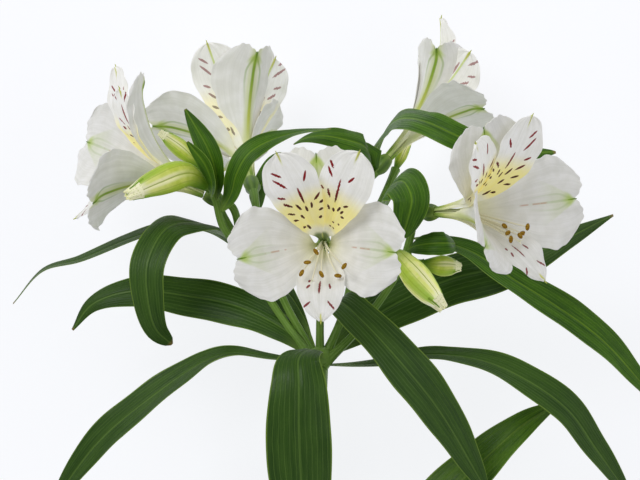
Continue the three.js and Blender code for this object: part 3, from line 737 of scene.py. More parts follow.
# %% The leaves along the stem
LEFTWARD = {"faces": [[0, 0.8, 1], [0.2, 0.6, 1], [-0.2, 0.5, 1]], "peak": 0.45, "cup": 0.1,
            "wave": 0.4}
RIGHTWARD = {**LEFTWARD, "faces": [[0, 0.8, 1], [-0.2, 0.6, 1], [0.2, 0.5, 1]]}
STEM_LEAVES = {
    "right_high": {
        "spine": [[-2, -93, -13], [15, -82, -11], [38, -63, -11], [61, -41, -12], [78, -26, -14],
                  [91, -18, -18]],
        "faces": [[0, 0.5, 1], [-0.4, 0.5, 1], [-0.5, 0.5, 1]],
        "width": 21, "peak": 0.5, "cup": 0.12, "wave": 0.4,
    },
    "front": {
        "spine": [[-4, -100, -14], [-6, -95, -3], [-12, -103, 6], [-16, -122, 7], [-17, -150, 0],
                  [-20, -178, -12]],
        "faces": [[0, 1, 0.3], [-0.2, 0.7, 1], [-0.2, 0.1, 1], [-0.1, 0, 1]],
        "width": 19, "peak": 0.5, "cup": -0.1, "wave": 0.4,
    },
    "left_high": {
        "spine": [[-5, -122, -20], [-22, -112, -20], [-48, -100, -22], [-76, -97, -24],
                  [-98, -106, -28], [-112, -122, -34]],
        "width": 18, **LEFTWARD,
    },
    "right_middle": {
        "spine": [[-5, -152, -25], [12, -140, -20], [38, -132, -18], [66, -136, -22], [88, -150, -30],
                  [100, -168, -38]],
        "width": 18, **RIGHTWARD,
    },
    "left_low": {
        "spine": [[-5, -183, -31], [-22, -174, -27], [-48, -170, -26], [-74, -178, -30],
                  [-92, -194, -37], [-103, -212, -45]],
        "width": 17, **LEFTWARD,
    },
    "right_low": {
        "spine": [[-4, -214, -37], [14, -204, -33], [38, -200, -32], [62, -208, -37], [78, -222, -44],
                  [87, -240, -52]],
        "width": 16, **RIGHTWARD,
    },
}
print("leaves along the stem:", len(STEM_LEAVES))

# %% [markdown]
# ## The stalk and its rays
#
# The stalk is one growth: a leafy stem, a swollen node under the flowers, and the rays that carry
# the blooms and buds. It could be skinned from edges with a Skin modifier, but the rays have to end
# square behind each flower, so each is a rod of its own, sunk in the node or in the ray that it
# leaves. It runs straight for its last few millimetres, which makes the neck of the flower.
#
# A cut alstroemeria stem is a clear mid green, ribbed along its length and a little paler on the
# ribs. They follow the angle round the rod, which `place` keeps as a point on a circle, so the paint
# has no seam where the angle starts again.

# %% Stalk paint
STALK_RIBS = 9


def stalk_paint():
    paint = Paint("green stalk", roughness=0.45, specular=0.25)
    angle, _ = paint.on_rod()
    where = paint.in_object()
    rib = (angle * STALK_RIBS).cosine() * 0.5 + 0.5
    cloud = paint.noise(where, 90, 3).rise(0.3, 0.7)
    green = paint.mix(cloud, srgb(90, 128, 42), srgb(114, 152, 60))
    paint.colour(paint.mix(rib * 0.4, green, srgb(142, 174, 88)))
    paint.relief(rib + paint.noise(where, 900) * 0.4, 0.12)
    return paint


def cut_paint():
    """The cut end: wet, pale flesh with darker strands."""
    paint = Paint("cut flesh", roughness=0.35, specular=0.5)
    strands = paint.noise(paint.in_object(), 1400, 1).rise(0.52, 0.66)
    paint.colour(paint.mix(strands, srgb(206, 216, 160), srgb(150, 168, 96)))
    return paint


# %% Stalk
STALK_SPINE = [[0, 3, 0], [-1, -20, -3], [-2.5, -46, -7], [-6, -150, -24], [-4, -260, -42],
               [0, -372, -58.5]]
STALK_RADIUS = (3.3, 4.1)  # at the node and at the cut
STALK_RIB_DEPTH = 0.02
KNEE_HEIGHT = 0.5
KNEE_LENGTH = 3.5
NODE_SWELLING = 4.6
NODE_FLATNESS = 0.9
RAY_RADIUS = 1.6
RAY_RIBS = 6
RAY_RIB_DEPTH = 0.03
FOOT_FLARE = 0.7
NECK_FLARE = 0.25
NECK = 3.0
SUNK = 0.4
OVARY_LENGTH = 8.0
CUT_END = -300  # only the cut end lies so far down the stalk
CUT_RIM = 0.35
CUT_HOLLOW = 0.2
stalk_route = Route(STALK_SPINE)


def leaf_scars():
    """Where on the stalk its leaves stand, as shares of its length."""
    walk = stalk_route.walk
    for leaf in STEM_LEAVES.values():
        nearest = np.argmin(np.linalg.norm(walk - np.array(leaf["spine"][0]), axis=1))
        yield stalk_route.reach[nearest] / stalk_route.length


def stalk_radius(t, angle):
    """The stalk thickens towards the cut and has a small knee at each leaf."""
    top, cut = STALK_RADIUS
    from_scars = [(t - scar) * stalk_route.length for scar in leaf_scars()]
    knee = sum(KNEE_HEIGHT * np.exp(-((away / KNEE_LENGTH) ** 2)) for away in from_scars)
    rib = 1 + STALK_RIB_DEPTH * np.cos(STALK_RIBS * angle)
    return (top + (cut - top) * t + knee) * rib


def ray_route(points, seat, out):
    """A ray's own points, then its straight neck into the flower."""
    return Route([*points, seat - out * NECK, seat + out * SUNK])


def ray_radius(t, angle):
    """A ray flares a little where it leaves the node and under its flower."""
    flare = FOOT_FLARE * np.exp(-t * 14) + NECK_FLARE * np.exp(-(1 - t) * 18)
    return RAY_RADIUS * (0.92 + flare) * (1 + RAY_RIB_DEPTH * np.cos(RAY_RIBS * angle))


def rays():
    for bloom in BLOOMS.values():
        out = unit(bloom["axis"])
        yield ray_route(bloom["ray"], np.array(bloom["base"]) - out * OVARY_LENGTH, out)
    for bud in BUDS.values():
        seat, after = np.array(bud["spine"][:2], float)
        yield ray_route(bud["ray"], seat, unit(after - seat))


stalk = rod(stalk_route, stalk_radius, sides=36, rings=220)
caps = [face for face in stalk.faces if len(face.verts) > 4]
cut_face = [face for face in caps if face.calc_center_median().y < CUT_END]
bmesh.ops.inset_region(stalk, faces=cut_face, thickness=CUT_RIM, depth=-CUT_HOLLOW)
for face in cut_face:
    face.material_index = 1
node = bmesh.new()
bmesh.ops.create_uvsphere(node, u_segments=36, v_segments=24, radius=NODE_SWELLING)
bmesh.ops.scale(node, verts=node.verts, vec=(1, NODE_FLATNESS, 1))
with_layers(node)
parts = [(stalk, None), (node, 0)]
parts += [(rod(route, ray_radius, sides=18, rings=60), 0) for route in rays()]
piece = finished("stalk_and_rays", "stem", "stem", parts, [stalk_paint(), cut_paint()])
print("stalk and rays:", len(piece.data.polygons), "faces")

# %% [markdown]
# ## Leaves
#
# An alstroemeria leaf is lance-shaped, with veins that run side by side from its foot to its tip.
# It twists at the foot, so that the face that was below looks up. A lattice or a curve modifier
# could bend a flat leaf, but the twist is easier to say directly: the midrib is a route, and a few
# directions tell where the upper face looks on the way from foot to tip.

# %% Bending a card along a midrib
def no_reach(s, t):
    return 0 * t


def bent(spine, faces, half_width, lift, reach=no_reach):
    """The surface of a blade: s runs across it from -1 to 1 and t along it from 0 to 1."""
    route = Route(spine, per_span=160)
    hints = np.array(faces, float)

    def surface(s, t):
        heading = route.heading(t)
        step = np.clip(t, 0, 1) * (len(hints) - 1)
        start = np.floor(step).astype(int)
        end = np.ceil(step).astype(int)
        hint = hints[start] + (hints[end] - hints[start]) * (step - start)[:, None]
        side = unit(np.cross(heading, hint))
        face = np.cross(side, heading)
        middle = route.at(t) + heading * reach(s, t)[:, None]
        return middle + side * (s * half_width(t))[:, None] + face * lift(s, t)[:, None]

    return surface, route.length


# %% The shape of a leaf
LEAF_GRID = (40, 84)
LEAF_END = 0.5
LEAF_RISE = 0.8
LEAF_VEINS = 6  # on each side of the midrib
VEIN_HEIGHT = 0.07
KEEL_DEPTH = 0.35
KEEL_WIDTH = 0.9
FLUTTER = 0.35
LEAF_EDGE = 0.18
LEAF_FLESH = 0.4
LEAF_TO_LEAF = 1.7


def leaf_width(width, peak):
    fall = LEAF_RISE * (1 - peak) / peak

    def half_width(t):
        body = (t / peak) ** LEAF_RISE * ((1 - t) / (1 - peak)) ** fall
        return LEAF_END + (width / 2 - LEAF_END) * body

    return half_width


def leaf_lift(half_width, cup, wave, turn):
    """The cross-section: a cupped blade with a keel, raised veins and a gently waved edge."""
    def lift(s, t):
        wide = half_width(t)
        ripple = wave * np.sin(5 * np.pi * t + 1.5 * s) * np.sin(np.pi * t)
        flutter = FLUTTER * np.abs(s) ** 4 * np.sin(31 * t + 3 * s + turn) * smooth(t, 0, 0.2)
        keel = -KEEL_DEPTH * np.exp(-((s * wide / KEEL_WIDTH) ** 2)) * smooth(wide, 0.8, 4)
        veins = VEIN_HEIGHT * np.cos(2 * np.pi * LEAF_VEINS * s) * smooth(wide, 2, 6)
        return s * s * (cup * wide + ripple) + keel + veins + flutter * smooth(wide, 2, 7)

    return lift


def leaf_blade(shape, turn):
    half_width = leaf_width(shape["width"], shape["peak"])
    lift = leaf_lift(half_width, shape["cup"], shape["wave"], turn)
    surface, length = bent(shape["spine"], shape["faces"], half_width, lift)

    def thickness(s, t):
        return LEAF_EDGE + LEAF_FLESH * (1 - s * s) * smooth(half_width(t), 0.3, 3)

    def flat(s, t):
        return (s * half_width(np.float64(t)), t * length, turn)

    return blade(surface, thickness, *LEAF_GRID, flat=flat)


# %% [markdown]
# ### Leaf green
#
# The upper face is a deep green with a soft waxy sheen, and paler veins show through it. The edge is
# a thin yellow-green line, the lower face is a lighter green, and the very tip is dry. Leaves among
# the flowers are younger and brighter, and those along the stem are turning yellow. Each kind could
# have a paint of its own, but they differ only in their greens, so one function makes all three.

# %% Leaf paint
def leaf_paint(name, dark, light, vein, under):
    paint = Paint(name, roughness=0.42, specular=0.22)
    s, t, side = paint.attribute("place").parts()
    flat = paint.attribute("pattern")
    x, y, turn = flat.parts()

    def pulled(across, along):
        """A place whose patterns are drawn out along the leaf."""
        return paint.node("ShaderNodeCombineXYZ", {}, {0: s * across, 1: y * along, 2: turn})

    wobble = paint.noise(flat, 0.12, 2) * 0.08
    veins = ((s + wobble) * (2 * math.pi * LEAF_VEINS)).cosine().rise(0.8, 1.0)
    threads = paint.noise(pulled(26, 0.05), 1, 2).rise(0.35, 0.65)
    patches = paint.noise(pulled(3, 0.05), 1, 3).rise(0.3, 0.7)
    mottle = paint.noise(flat, 0.9, 4).rise(0.4, 0.7)
    midrib = abs(x).rise(0.5, 0.1)
    green = paint.mix(patches, dark, light)
    green = paint.mix(mottle * 0.25, green, dark)
    green = paint.mix(threads * 0.1, green, vein)
    green = paint.mix(veins * 0.3, green, vein)
    green = paint.mix(midrib * 0.45, green, vein)
    green = paint.mix(side.rise(0.3, -0.3), green, paint.mix(veins.greatest(threads) * 0.3, under, vein))
    green = paint.mix(t.rise(0.14, 0.0) * 0.6, green, srgb(132, 164, 70))
    green = paint.mix(abs(s).rise(0.93, 1.0) * 0.6, green, srgb(142, 172, 66))
    paint.colour(paint.mix(t.rise(0.985, 1.0) * 0.8, green, srgb(150, 120, 70)))
    paint.feed(paint.shader.inputs["Roughness"], patches * 0.1 + mottle * 0.08 + 0.34)
    paint.relief(threads * 0.4 + veins * 0.6 + mottle * 0.3, 0.06)
    return paint


deep_green = leaf_paint("deep leaf green", srgb(38, 70, 14), srgb(55, 88, 22), srgb(106, 138, 60),
                        srgb(80, 112, 40))
yellow_green = leaf_paint("yellow leaf green", srgb(46, 84, 6), srgb(78, 116, 12),
                          srgb(112, 138, 50), srgb(92, 124, 40))
young_green = leaf_paint("young leaf green", srgb(38, 80, 6), srgb(70, 114, 14),
                         srgb(126, 162, 44), srgb(100, 140, 34))

# %% Leaves
GROUPS = [
    ("whorl_leaf", "stem_leaf", WHORL_LEAVES, deep_green),
    ("flower_leaf", "flower_leaf", FLOWER_LEAVES, young_green),
    ("stem_leaf", "stem_leaf", STEM_LEAVES, yellow_green),
]

for prefix, slot, shapes, paint in GROUPS:
    for i, (name, shape) in enumerate(shapes.items()):
        node = f"{prefix}_{name}"
        parts = [(leaf_blade(shape, LEAF_TO_LEAF * i), 0)]
        finished(f"blade_of_{node}", node, slot, parts, [paint])
    print(prefix, "leaves:", len(shapes))

# %% [markdown]
# ## Buds
#
# A bud is three outer petals wrapped round the rest. Each has a green keel that ends in a small horn,
# and where two of them meet is a narrow seam between two pale bands. The frilled rims of the petals
# inside just show at the tip. The body is turned like a spindle on a route: a rod whose radius rises
# and falls, and swells a little on the keels. A lump could be sculpted instead, but here one formula
# says where the keels and seams run, so the shape, the horns and the paint all agree.

# %% Where the keels and seams run
KEELS = 3
BUD_TWIST = 1.2
BUD_TURN = 1.0


def wrapped(angle, along):
    """Grows by a full turn from keel to keel: its cosine is 1 on a keel and -1 on a seam."""
    return angle * KEELS + along * BUD_TWIST + BUD_TURN


# %% Bud paint
def bud_paint(name, dark, light, glow):
    paint = Paint(name, roughness=0.42, specular=0.3)
    angle, along = paint.on_rod()
    turned = wrapped(angle, along)
    keel = turned.cosine()
    patches = paint.noise(paint.attribute("pattern"), 0.5, 3).rise(0.3, 0.7)
    skin = paint.mix(patches, dark, light)
    skin = paint.mix(along.rise(0.4, 0.8) * 0.5, skin, srgb(230, 232, 152))
    bands = keel.rise(-0.4, -0.95) * along.rise(0.2, 0.6)
    skin = paint.mix(bands * 0.75, skin, srgb(240, 236, 192))
    crest = paint.mix(along.rise(0.5, 0.9), srgb(156, 188, 40), srgb(124, 172, 24))
    skin = paint.mix(keel.rise(0.1, 0.85) * 0.75, skin, crest)
    veins = (turned * 5).cosine().rise(0.6, 1.0) * keel.rise(-0.8, -0.2)
    skin = paint.mix(veins * 0.4, skin, srgb(136, 164, 34))
    skin = paint.mix(keel.rise(0.6, 0.2) * along.rise(0.76, 0.92), skin, srgb(238, 236, 214))
    skin = paint.mix(along.rise(0.42, 0.06) * 0.95, skin, srgb(74, 116, 20))
    seam = keel.rise(-0.975, -0.998) * along.rise(0.02, 0.2)
    skin = paint.mix(seam * 0.75, skin, srgb(132, 150, 34))
    paint.colour(skin)
    # Painted light: the bud glows a little in its own colour, which lightens its shade.
    paint.glow(skin, glow)
    paint.relief(veins, 0.06)
    return paint


FRILL_GLOW = 0.2


def frill_paint():
    """The rims of the petals inside: cream, with pale green flecks."""
    paint = Paint("cream frill", roughness=0.5, specular=0.3)
    flecks = paint.noise(paint.attribute("pattern"), 1.4, 2).rise(0.52, 0.68)
    cream = paint.mix(flecks * 0.6, srgb(236, 234, 196), srgb(172, 184, 80))
    paint.colour(cream)
    # Painted light: the frill glows a little in its own colour, which lightens its shade.
    paint.glow(cream, FRILL_GLOW)
    return paint


def horn_paint(name, foot, tip):
    """The small hard tip that each petal ends in."""
    paint = Paint(name, roughness=0.45, specular=0.4)
    *_, along = paint.attribute("place").parts()
    paint.colour(paint.mix(along.rise(0.2, 0.9), foot, tip))
    return paint


# %% The shape of a bud
BUD_RINGS = 56


def bud_swell(shape):
    """The bud's radius along its length."""
    peak, radius = shape["peak"], shape["radius"]
    return profile([[0, 0.32 * radius], [peak * 0.5, 0.72 * radius], [peak, radius],
                    [peak + 0.25, 0.86 * radius], [0.9, 0.54 * radius], [1, 0.24 * radius]])


def bud_body(shape):
    swell = bud_swell(shape)

    def radius(t, angle):
        turned = wrapped(angle, t)
        keel = 0.05 * np.cos(turned) * np.sin(np.pi * np.clip(t, 0, 1)) ** 0.5
        seam = 0.055 * np.exp(-(1 + np.cos(turned)) / 0.05) * smooth(t, 0.05, 0.3)
        return swell(t) * (1 + keel - seam)

    return rod(shape["spine"], radius, sides=144, rings=BUD_RINGS)


def round_bud(shape, along):
    """The middle of a bud's section, and the two directions that its angles are measured by."""
    route = Route(shape["spine"])
    normal, binormal = carried(route, np.linspace(0, 1, BUD_RINGS + 1))
    row = round(along * BUD_RINGS)
    return route.at(along), normal[row], binormal[row]


# %% The horns and the frill of a bud
LARGE_BUD = 5.6
HORN_LIES = ((0.8, -0.15), (0.88, 0.1), (0.94, 0.45), (0.98, 1.0))  # along, and how proud


def bud_horn(shape, i):
    """The end of a keel: it lies on the bud and lifts off near the tip."""
    size = shape["radius"] / LARGE_BUD
    swell = bud_swell(shape)
    points = []
    for along, proud in HORN_LIES:
        middle, normal, binormal = round_bud(shape, along)
        angle = (2 * math.pi * i - BUD_TWIST * along - BUD_TURN) / KEELS
        reach = float(swell(np.array([along]))[0]) + proud * size
        points.append(middle + (normal * math.cos(angle) + binormal * math.sin(angle)) * reach)
    return rod(points, lambda t, angle: size * (0.62 - 0.45 * t) + 0 * angle, 12, 16)


def frill(shape, i):
    """One of three thin rims that stand out of the tip, ruffled at the end."""
    size = shape["radius"]
    foot, _, _ = round_bud(shape, 0.86)
    end, normal, binormal = round_bud(shape, 1)
    middle = (math.pi * (2 * i + 1) - BUD_TWIST - BUD_TURN) / KEELS

    def surface(s, t):
        angle = middle + 1.25 * s
        away = np.cos(angle)[:, None] * normal + np.sin(angle)[:, None] * binormal
        ruffle = 1 + 0.2 * t**2 * np.sin(10 * s + 2 * i)
        radius = size * (0.58 - 0.3 * t + 0.04 * i) * ruffle
        ahead = t * (1.16 - 0.2 * s * s + 0.07 * np.sin(9 * s + i))
        return foot + (end - foot) * ahead[:, None] + away * radius[:, None]

    return blade(surface, lambda s, t: 0.28 - 0.12 * t, 36, 16, flat=lambda s, t: (s * size, t * 5, i))


# %% Buds
# The right bud is paler than the others, and its stronger glow is painted light that lifts it out of the
# shade of the right bloom.
bud_paints = [
    bud_paint("green bud", srgb(180, 196, 66), srgb(202, 210, 98), glow=0.12),
    bud_paint("ripe bud with painted light", srgb(206, 216, 100), srgb(226, 230, 142), glow=0.34),
    horn_paint("bud horn", srgb(140, 178, 40), srgb(104, 146, 20)),
    frill_paint(),
]
GREEN_BUD, RIPE_LIT_BUD, BUD_HORN, FRILL = range(4)
for name, shape in BUDS.items():
    parts = [(bud_body(shape), RIPE_LIT_BUD if name == "right" else GREEN_BUD)]
    parts += [(bud_horn(shape, i), BUD_HORN) for i in range(KEELS)]
    parts += [(frill(shape, i), FRILL) for i in range(KEELS)]
    finished(f"closed_{name}_bud", f"{name}_bud", "bud", parts, bud_paints)
print("buds:", len(BUDS))

# %% [markdown]
# ## Blooms
#
# Each bloom stands on a ribbed ovary and has six tepals in two rings: three broad outer ones, heart
# shaped at the end, and three narrow inner ones, two above with the honey guide of dark dashes and
# one below. The foot of each is a narrow gutter, and together the gutters make the tube. A bloom is
# drawn upright on its own axis first, where each tepal is one of three shapes, turned and opened by
# its own amounts, and is then stood on its ray. Modelled in place, no two could share a shape.

# %% From a flower's frame to the row's
def on_ray(bloom):
    """The function that carries points from a bloom's own frame to the row's."""
    out = unit(bloom["axis"])
    right = unit(np.cross(bloom["up"], out))
    top = np.cross(out, right)
    turn = np.array([right, top, out])
    return lambda points: placed(np.asarray(points) @ turn + np.array(bloom["base"]))


# %% The shapes of the tepals
# A route runs outwards and upwards, and a width is half the tepal's, at shares of its length. A lap
# lifts one edge over the neighbour.
TEPALS = {
    "outer": {
        "route": [[1.9, 0.5], [3.2, 8], [6, 18], [13, 28], [25, 37], [38, 42]],
        "width": [[0, 0.8], [0.18, 1.1], [0.32, 4], [0.46, 9.5], [0.62, 15.5], [0.78, 17.9],
                  [0.9, 16.6], [0.97, 13.6], [1, 11.6]],
        "notched": True, "lap": 0.0,
    },
    "inner": {
        "route": [[1.8, 0.6], [2.7, 9], [5.5, 20], [12, 32], [21, 41], [34, 48]],
        "width": [[0, 0.8], [0.14, 0.8], [0.25, 1.5], [0.37, 3.6], [0.55, 6.8], [0.67, 9],
                  [0.76, 10], [0.82, 10.2], [0.9, 8.8], [0.96, 6.2], [0.99, 3.2], [1, 1]],
        "notched": False, "lap": 0.12,
    },
    "lower": {
        "route": [[1.8, 0.6], [3, 9], [7, 20], [12, 30], [18, 38], [28, 44]],
        "width": [[0, 0.8], [0.2, 1], [0.36, 4.2], [0.52, 7.6], [0.67, 9], [0.82, 8.2], [0.91, 5.8],
                  [0.97, 3], [1, 0.8]],
        "notched": False, "lap": 0.0,
    },
}
TEPALS_APART = 60  # degrees
TEPAL_GRID = (44, 60)
GUTTER = profile([[0, 0.5], [0.3, 0.55], [0.5, 0.3], [0.7, 0.12], [1, -0.08]])
NOTCH = 5.0
ROUND_SHOULDER = 6.0
NIBBLES = 0.3
RIPPLE = 0.7
CRIMP = 0.45
RUFFLE = 0.35
MIDRIB_DEPTH = 0.28
PLEAT_DEPTH = 0.04
TEPAL_EDGE = 0.16
TEPAL_FLESH = 0.34


def tepal_surface(kind, degrees, open_out, far, fold=0.0, roll=0.0):
    """One tepal's surface and its length: a gutter that opens to a blade and bends back."""
    shape = TEPALS[kind]
    turn = math.radians(degrees)
    tip_turn = turn + math.radians(roll)
    cos, sin = math.cos(turn), math.sin(turn)
    root = shape["route"][0][0]
    spine = [[cos * (root + (out - root) * open_out), sin * (root + (out - root) * open_out),
              height * far] for out, height in shape["route"]]
    flat_width = profile(shape["width"])

    def half_width(t):
        return flat_width(t) * (1 - 0.4 * fold) * (1 + 0.012 * np.sin(44 * t + 5 * turn))

    def lift(s, t):
        wide = half_width(t)
        bend = GUTTER(t) + fold * smooth(t, 0, 0.3)
        ripple = RIPPLE * t**3 * np.sin(9 * t + 2 * s + turn)
        crimp = CRIMP * np.abs(s) ** 5 * np.sin(38 * t + 5 * s + 3 * turn) * smooth(t, 0.45, 0.8)
        ruffle = RUFFLE * smooth(t, 0.9, 1) * np.sin(11 * s + 2 * turn) * (1 - np.abs(s) ** 3)
        midrib = -MIDRIB_DEPTH * np.exp(-((s * wide / 1.1) ** 2)) * smooth(t, 0.3, 0.6)
        pleats = PLEAT_DEPTH * np.cos(2 * np.pi * 4.5 * s + 2 * turn) * smooth(wide, 3, 9)
        broad = s * s * (bend * wide + ripple) + s * shape["lap"] * wide
        return broad + crimp + ruffle + midrib + pleats

    def reach(s, t):
        nibbled = NIBBLES * np.sin(24 * s + 3 * turn) * smooth(t, 0.8, 1)
        if not shape["notched"]:
            return nibbled * 0.5
        heart = -NOTCH * (1 - np.abs(s)) ** 2 - ROUND_SHOULDER * np.abs(s) ** 3
        return heart * smooth(t, 0.6, 1) + nibbled

    faces = [[-cos, -sin, 1], [-math.cos(tip_turn), -math.sin(tip_turn), 1]]
    surface, length = bent(spine, faces, half_width, lift, reach)
    return surface, half_width, length


# %% A tepal and its horn
HORNS = {"outer": (0.8, 0.4), "inner": (1.3, 0.32), "lower": (1.2, 0.34)}  # length and radius


def tepal(kind, *pose):
    surface, half_width, length = tepal_surface(kind, *pose)

    def thickness(s, t):
        return TEPAL_EDGE + TEPAL_FLESH * (1 - np.abs(s) ** 3) * (1 - 0.5 * smooth(t, 0.5, 1))

    def flat(s, t):
        return (s * float(half_width(np.array([t]))[0]), t * length, pose[0] / TEPALS_APART)

    return blade(surface, thickness, *TEPAL_GRID, toward_tip=1.25, flat=flat)


def horn(kind, *pose):
    """The small hard tip that each tepal ends in."""
    surface, _, _ = tepal_surface(kind, *pose)
    length, thick = HORNS[kind]
    back, near, end = surface(np.zeros(3), np.array([0.94, 0.97, 1.0]))
    tip = end + unit(end - near) * length + np.array([0, 0, 0.3])

    def radius(t, angle):
        return thick * (0.25 + 0.75 * np.sin(np.pi * np.clip(0.1 + 0.85 * t, 0, 1)))

    return rod(Route([back, near, end, tip]), radius, sides=12, rings=14)


# %% [markdown]
# ### Petal white
#
# The petals aren't plain white. Their feet are green where they make the tube, then yellow-green and
# cream, and the blade is a warm white with faint streaks that fan out from the foot. The streaks
# could be a wave of even stripes, but real veins are uneven, so they are a noise that is pulled out
# along the petal. It reads s, the share of the width, and so it fans out as the petal widens.

# %% What the petal paints share
# The petals glow in their own colour: painted light that lightens their shade, most on the upper inner
# petals deep in the flower.
OUTER_GLOW = 0.07
INNER_GLOW = 0.2
SOFTNESS = 0.05
SOFT_DEPTH = 0.0006  # metres


class PetalPaint(Paint):
    """A petal's white, with the wires that its marks are measured from."""

    def __init__(self, name, foot=1.0, glow=INNER_GLOW):
        super().__init__(name, roughness=0.5, specular=0.3)
        self.feed(self.shader.inputs["Subsurface Weight"], SOFTNESS)
        self.feed(self.shader.inputs["Subsurface Radius"], (1.0, 1.0, 1.0))
        self.feed(self.shader.inputs["Subsurface Scale"], SOFT_DEPTH)
        self.s, self.t, side = self.attribute("place").parts()
        self.flat = self.attribute("pattern")
        self.x, self.y, self.turn = self.flat.parts()
        self.outside = side.rise(0.3, -0.3)
        self.inside = side.rise(-0.3, 0.3)
        streaks = self.noise(self.pulled(9, 1.3), 1, 2).rise(0.35, 0.7)
        fine = self.noise(self.pulled(34, 2.6), 1, 2).rise(0.3, 0.7)
        cloud = self.noise(self.flat, 0.2, 3).rise(0.3, 0.7)
        white = self.mix(cloud, srgb(231, 230, 224), srgb(241, 240, 237))
        white = self.mix(streaks * 0.26, white, srgb(207, 207, 198))
        white = self.mix(fine * 0.18, white, srgb(206, 207, 196))
        white = self.mix(self.t.rise(0.5, 0.14) * foot, white, srgb(236, 234, 190))
        white = self.mix(self.t.rise(0.24, 0.06) * foot, white, srgb(204, 212, 120))
        self.base = self.mix(self.t.rise(0.13, 0.02) * foot, white, srgb(128, 160, 60))
        self.relief(fine * 0.4 + streaks * 0.6, 0.05)
        self.strength = glow

    def pulled(self, across, along):
        """A place whose patterns are drawn out along the petal."""
        return self.node("ShaderNodeCombineXYZ", {}, {0: self.s * across, 1: self.t * along, 2: self.turn})

    def lay(self, share, over):
        """Lays a colour on what is there so far."""
        self.base = self.mix(share, self.base, over)

    def done(self):
        """Ends the sum: the petal also glows a little in its own colour, painted light that lightens its
        shade.
        """
        self.colour(self.base)
        self.glow(self.base, self.strength)
        return self

    def line(self, width):
        """The middle of the petal, as a line that fades to its edges."""
        return abs(self.x).rise(width, width * 0.3)


# %% The green lines at a tip
def tip_lines(paint):
    """Three green lines that bow out and meet in the horn, strong outside and faint inside."""
    apart = paint.t.rise(1.0, 0.8) * 2.6 * paint.t.rise(0.35, 0.75) + 0.3
    sides = abs(abs(paint.x) - apart).rise(0.55, 0.15) * paint.t.rise(0.5, 0.85)
    middle = paint.line(0.7) * paint.t.rise(0.5, 0.8)
    return (sides * 0.7).greatest(middle) * (paint.outside * 0.6 + 0.4)


# %% Outer petals
UPRIGHT = 1.53  # the turn of an upright petal, counted in sixths of a circle


def outer_paint():
    paint = PetalPaint("outer petal", glow=OUTER_GLOW)
    x, t = paint.x, paint.t
    paint.lay(paint.line(2.4) * t.rise(0.1, 0.3) * t.rise(0.8, 0.4) * paint.outside * 0.7,
              srgb(196, 206, 120))
    paint.lay(paint.line(3.2) * t.rise(0.45, 0.7) * paint.outside * 0.6, srgb(206, 214, 148))
    keel = paint.line(0.85) * t.rise(0.24, 0.5) * paint.outside
    paint.lay(keel * 0.9, paint.mix(t.rise(0.4, 0.9), srgb(188, 196, 72), srgb(112, 150, 22)))
    upright = abs(paint.turn - UPRIGHT).rise(0.14, 0.1)
    wedge = (abs(x) - (1 - t) * 28).rise(0.4, -0.6) * t.rise(0.62, 0.9)
    paint.lay(wedge * (upright * 0.36 + 0.34) * paint.inside, srgb(190, 204, 128))
    near_tip = (abs(x) - (1 - t) * 30).rise(0.6, -0.6) * t.rise(0.86, 0.95)
    paint.lay(near_tip * 0.75, srgb(182, 204, 96))
    paint.lay(tip_lines(paint) * 0.7, srgb(134, 166, 44))
    streak = (paint.s * 30 + x).rise(-1.6, 0.0) * paint.line(0.5)
    gaps = paint.noise(paint.pulled(0, 16), 1, 1).rise(0.42, 0.5)
    paint.lay(streak * gaps * t.rise(0.53, 0.56) * t.rise(0.76, 0.72) * paint.inside * 0.55,
              srgb(190, 126, 90))
    return paint.done()


# %% [markdown]
# ### The honey guide
#
# The two upper inner petals carry the honey guide: maroon dashes that follow the veins to the
# throat. No two dashes are alike, so a wave or a noise wouldn't place them well. Each is an ellipse
# of its own instead: a Mapping node moves, turns and scales the petal until the dash is a circle of
# radius one round zero, and the vector's length then tells how far outside it a point is.

# %% Dashes
# Each has its millimetres to the right, its millimetres from the foot, its length and its lean.
DASH_WIDTH = 0.95
LEFT_GUIDE = [
    (-3.8, 54.5, 4.5, -42), (-4, 50.5, 7, -33), (5.7, 50, 4.7, 32), (1.2, 42.5, 8.2, 1),
    (-5.8, 44.7, 3.4, -54), (-4.8, 40.6, 4.5, -40), (-1.5, 37.6, 4.2, -15), (1, 35.3, 3.5, 3),
    (3.3, 36.7, 3.4, 15), (6.6, 40.3, 4.3, 48), (7.2, 37.7, 2.4, 52), (5.8, 34, 2.4, 52),
    (4.3, 29.6, 2.1, 35), (-5.1, 36.1, 3.4, -47), (-1.8, 32, 3.2, -13), (-4.6, 32, 2.6, -50),
    (-1.5, 24.2, 4.2, -9), (-3, 26, 1.9, -25),
]
RIGHT_GUIDE = [
    (-7.6, 53.6, 3.6, -44), (-7, 50.5, 4.8, -42), (1.5, 51.2, 3.6, 23), (-1.6, 44, 11.5, -7),
    (-7.5, 43, 2, -49), (-4.4, 41.6, 4.2, -31), (-2.6, 35, 2.8, -27), (-0.5, 34.6, 2.4, -15),
    (1.4, 36.5, 3.2, 11), (3.5, 39.7, 2.2, 45), (2.9, 36, 2.3, 20), (3.8, 34, 1.6, 57),
    (3.5, 29.3, 1, 0), (1.1, 27.7, 1, 0), (0.5, 24, 1, 0), (2, 24.6, 1, 0),
]
LOWER_MARKS = [
    (4.7, 38.8, 2.8, 30), (4.3, 35.6, 1.7, 20), (0.5, 38.7, 7.6, 4), (-3.4, 38.9, 2.8, -10),
    (5.2, 47.2, 3.8, 44), (-3.7, 47.5, 4.4, -37), (-7, 34.3, 2, -28),
]


def mirrored(marks):
    return [(-x, y, length, -lean) for x, y, length, lean in marks]


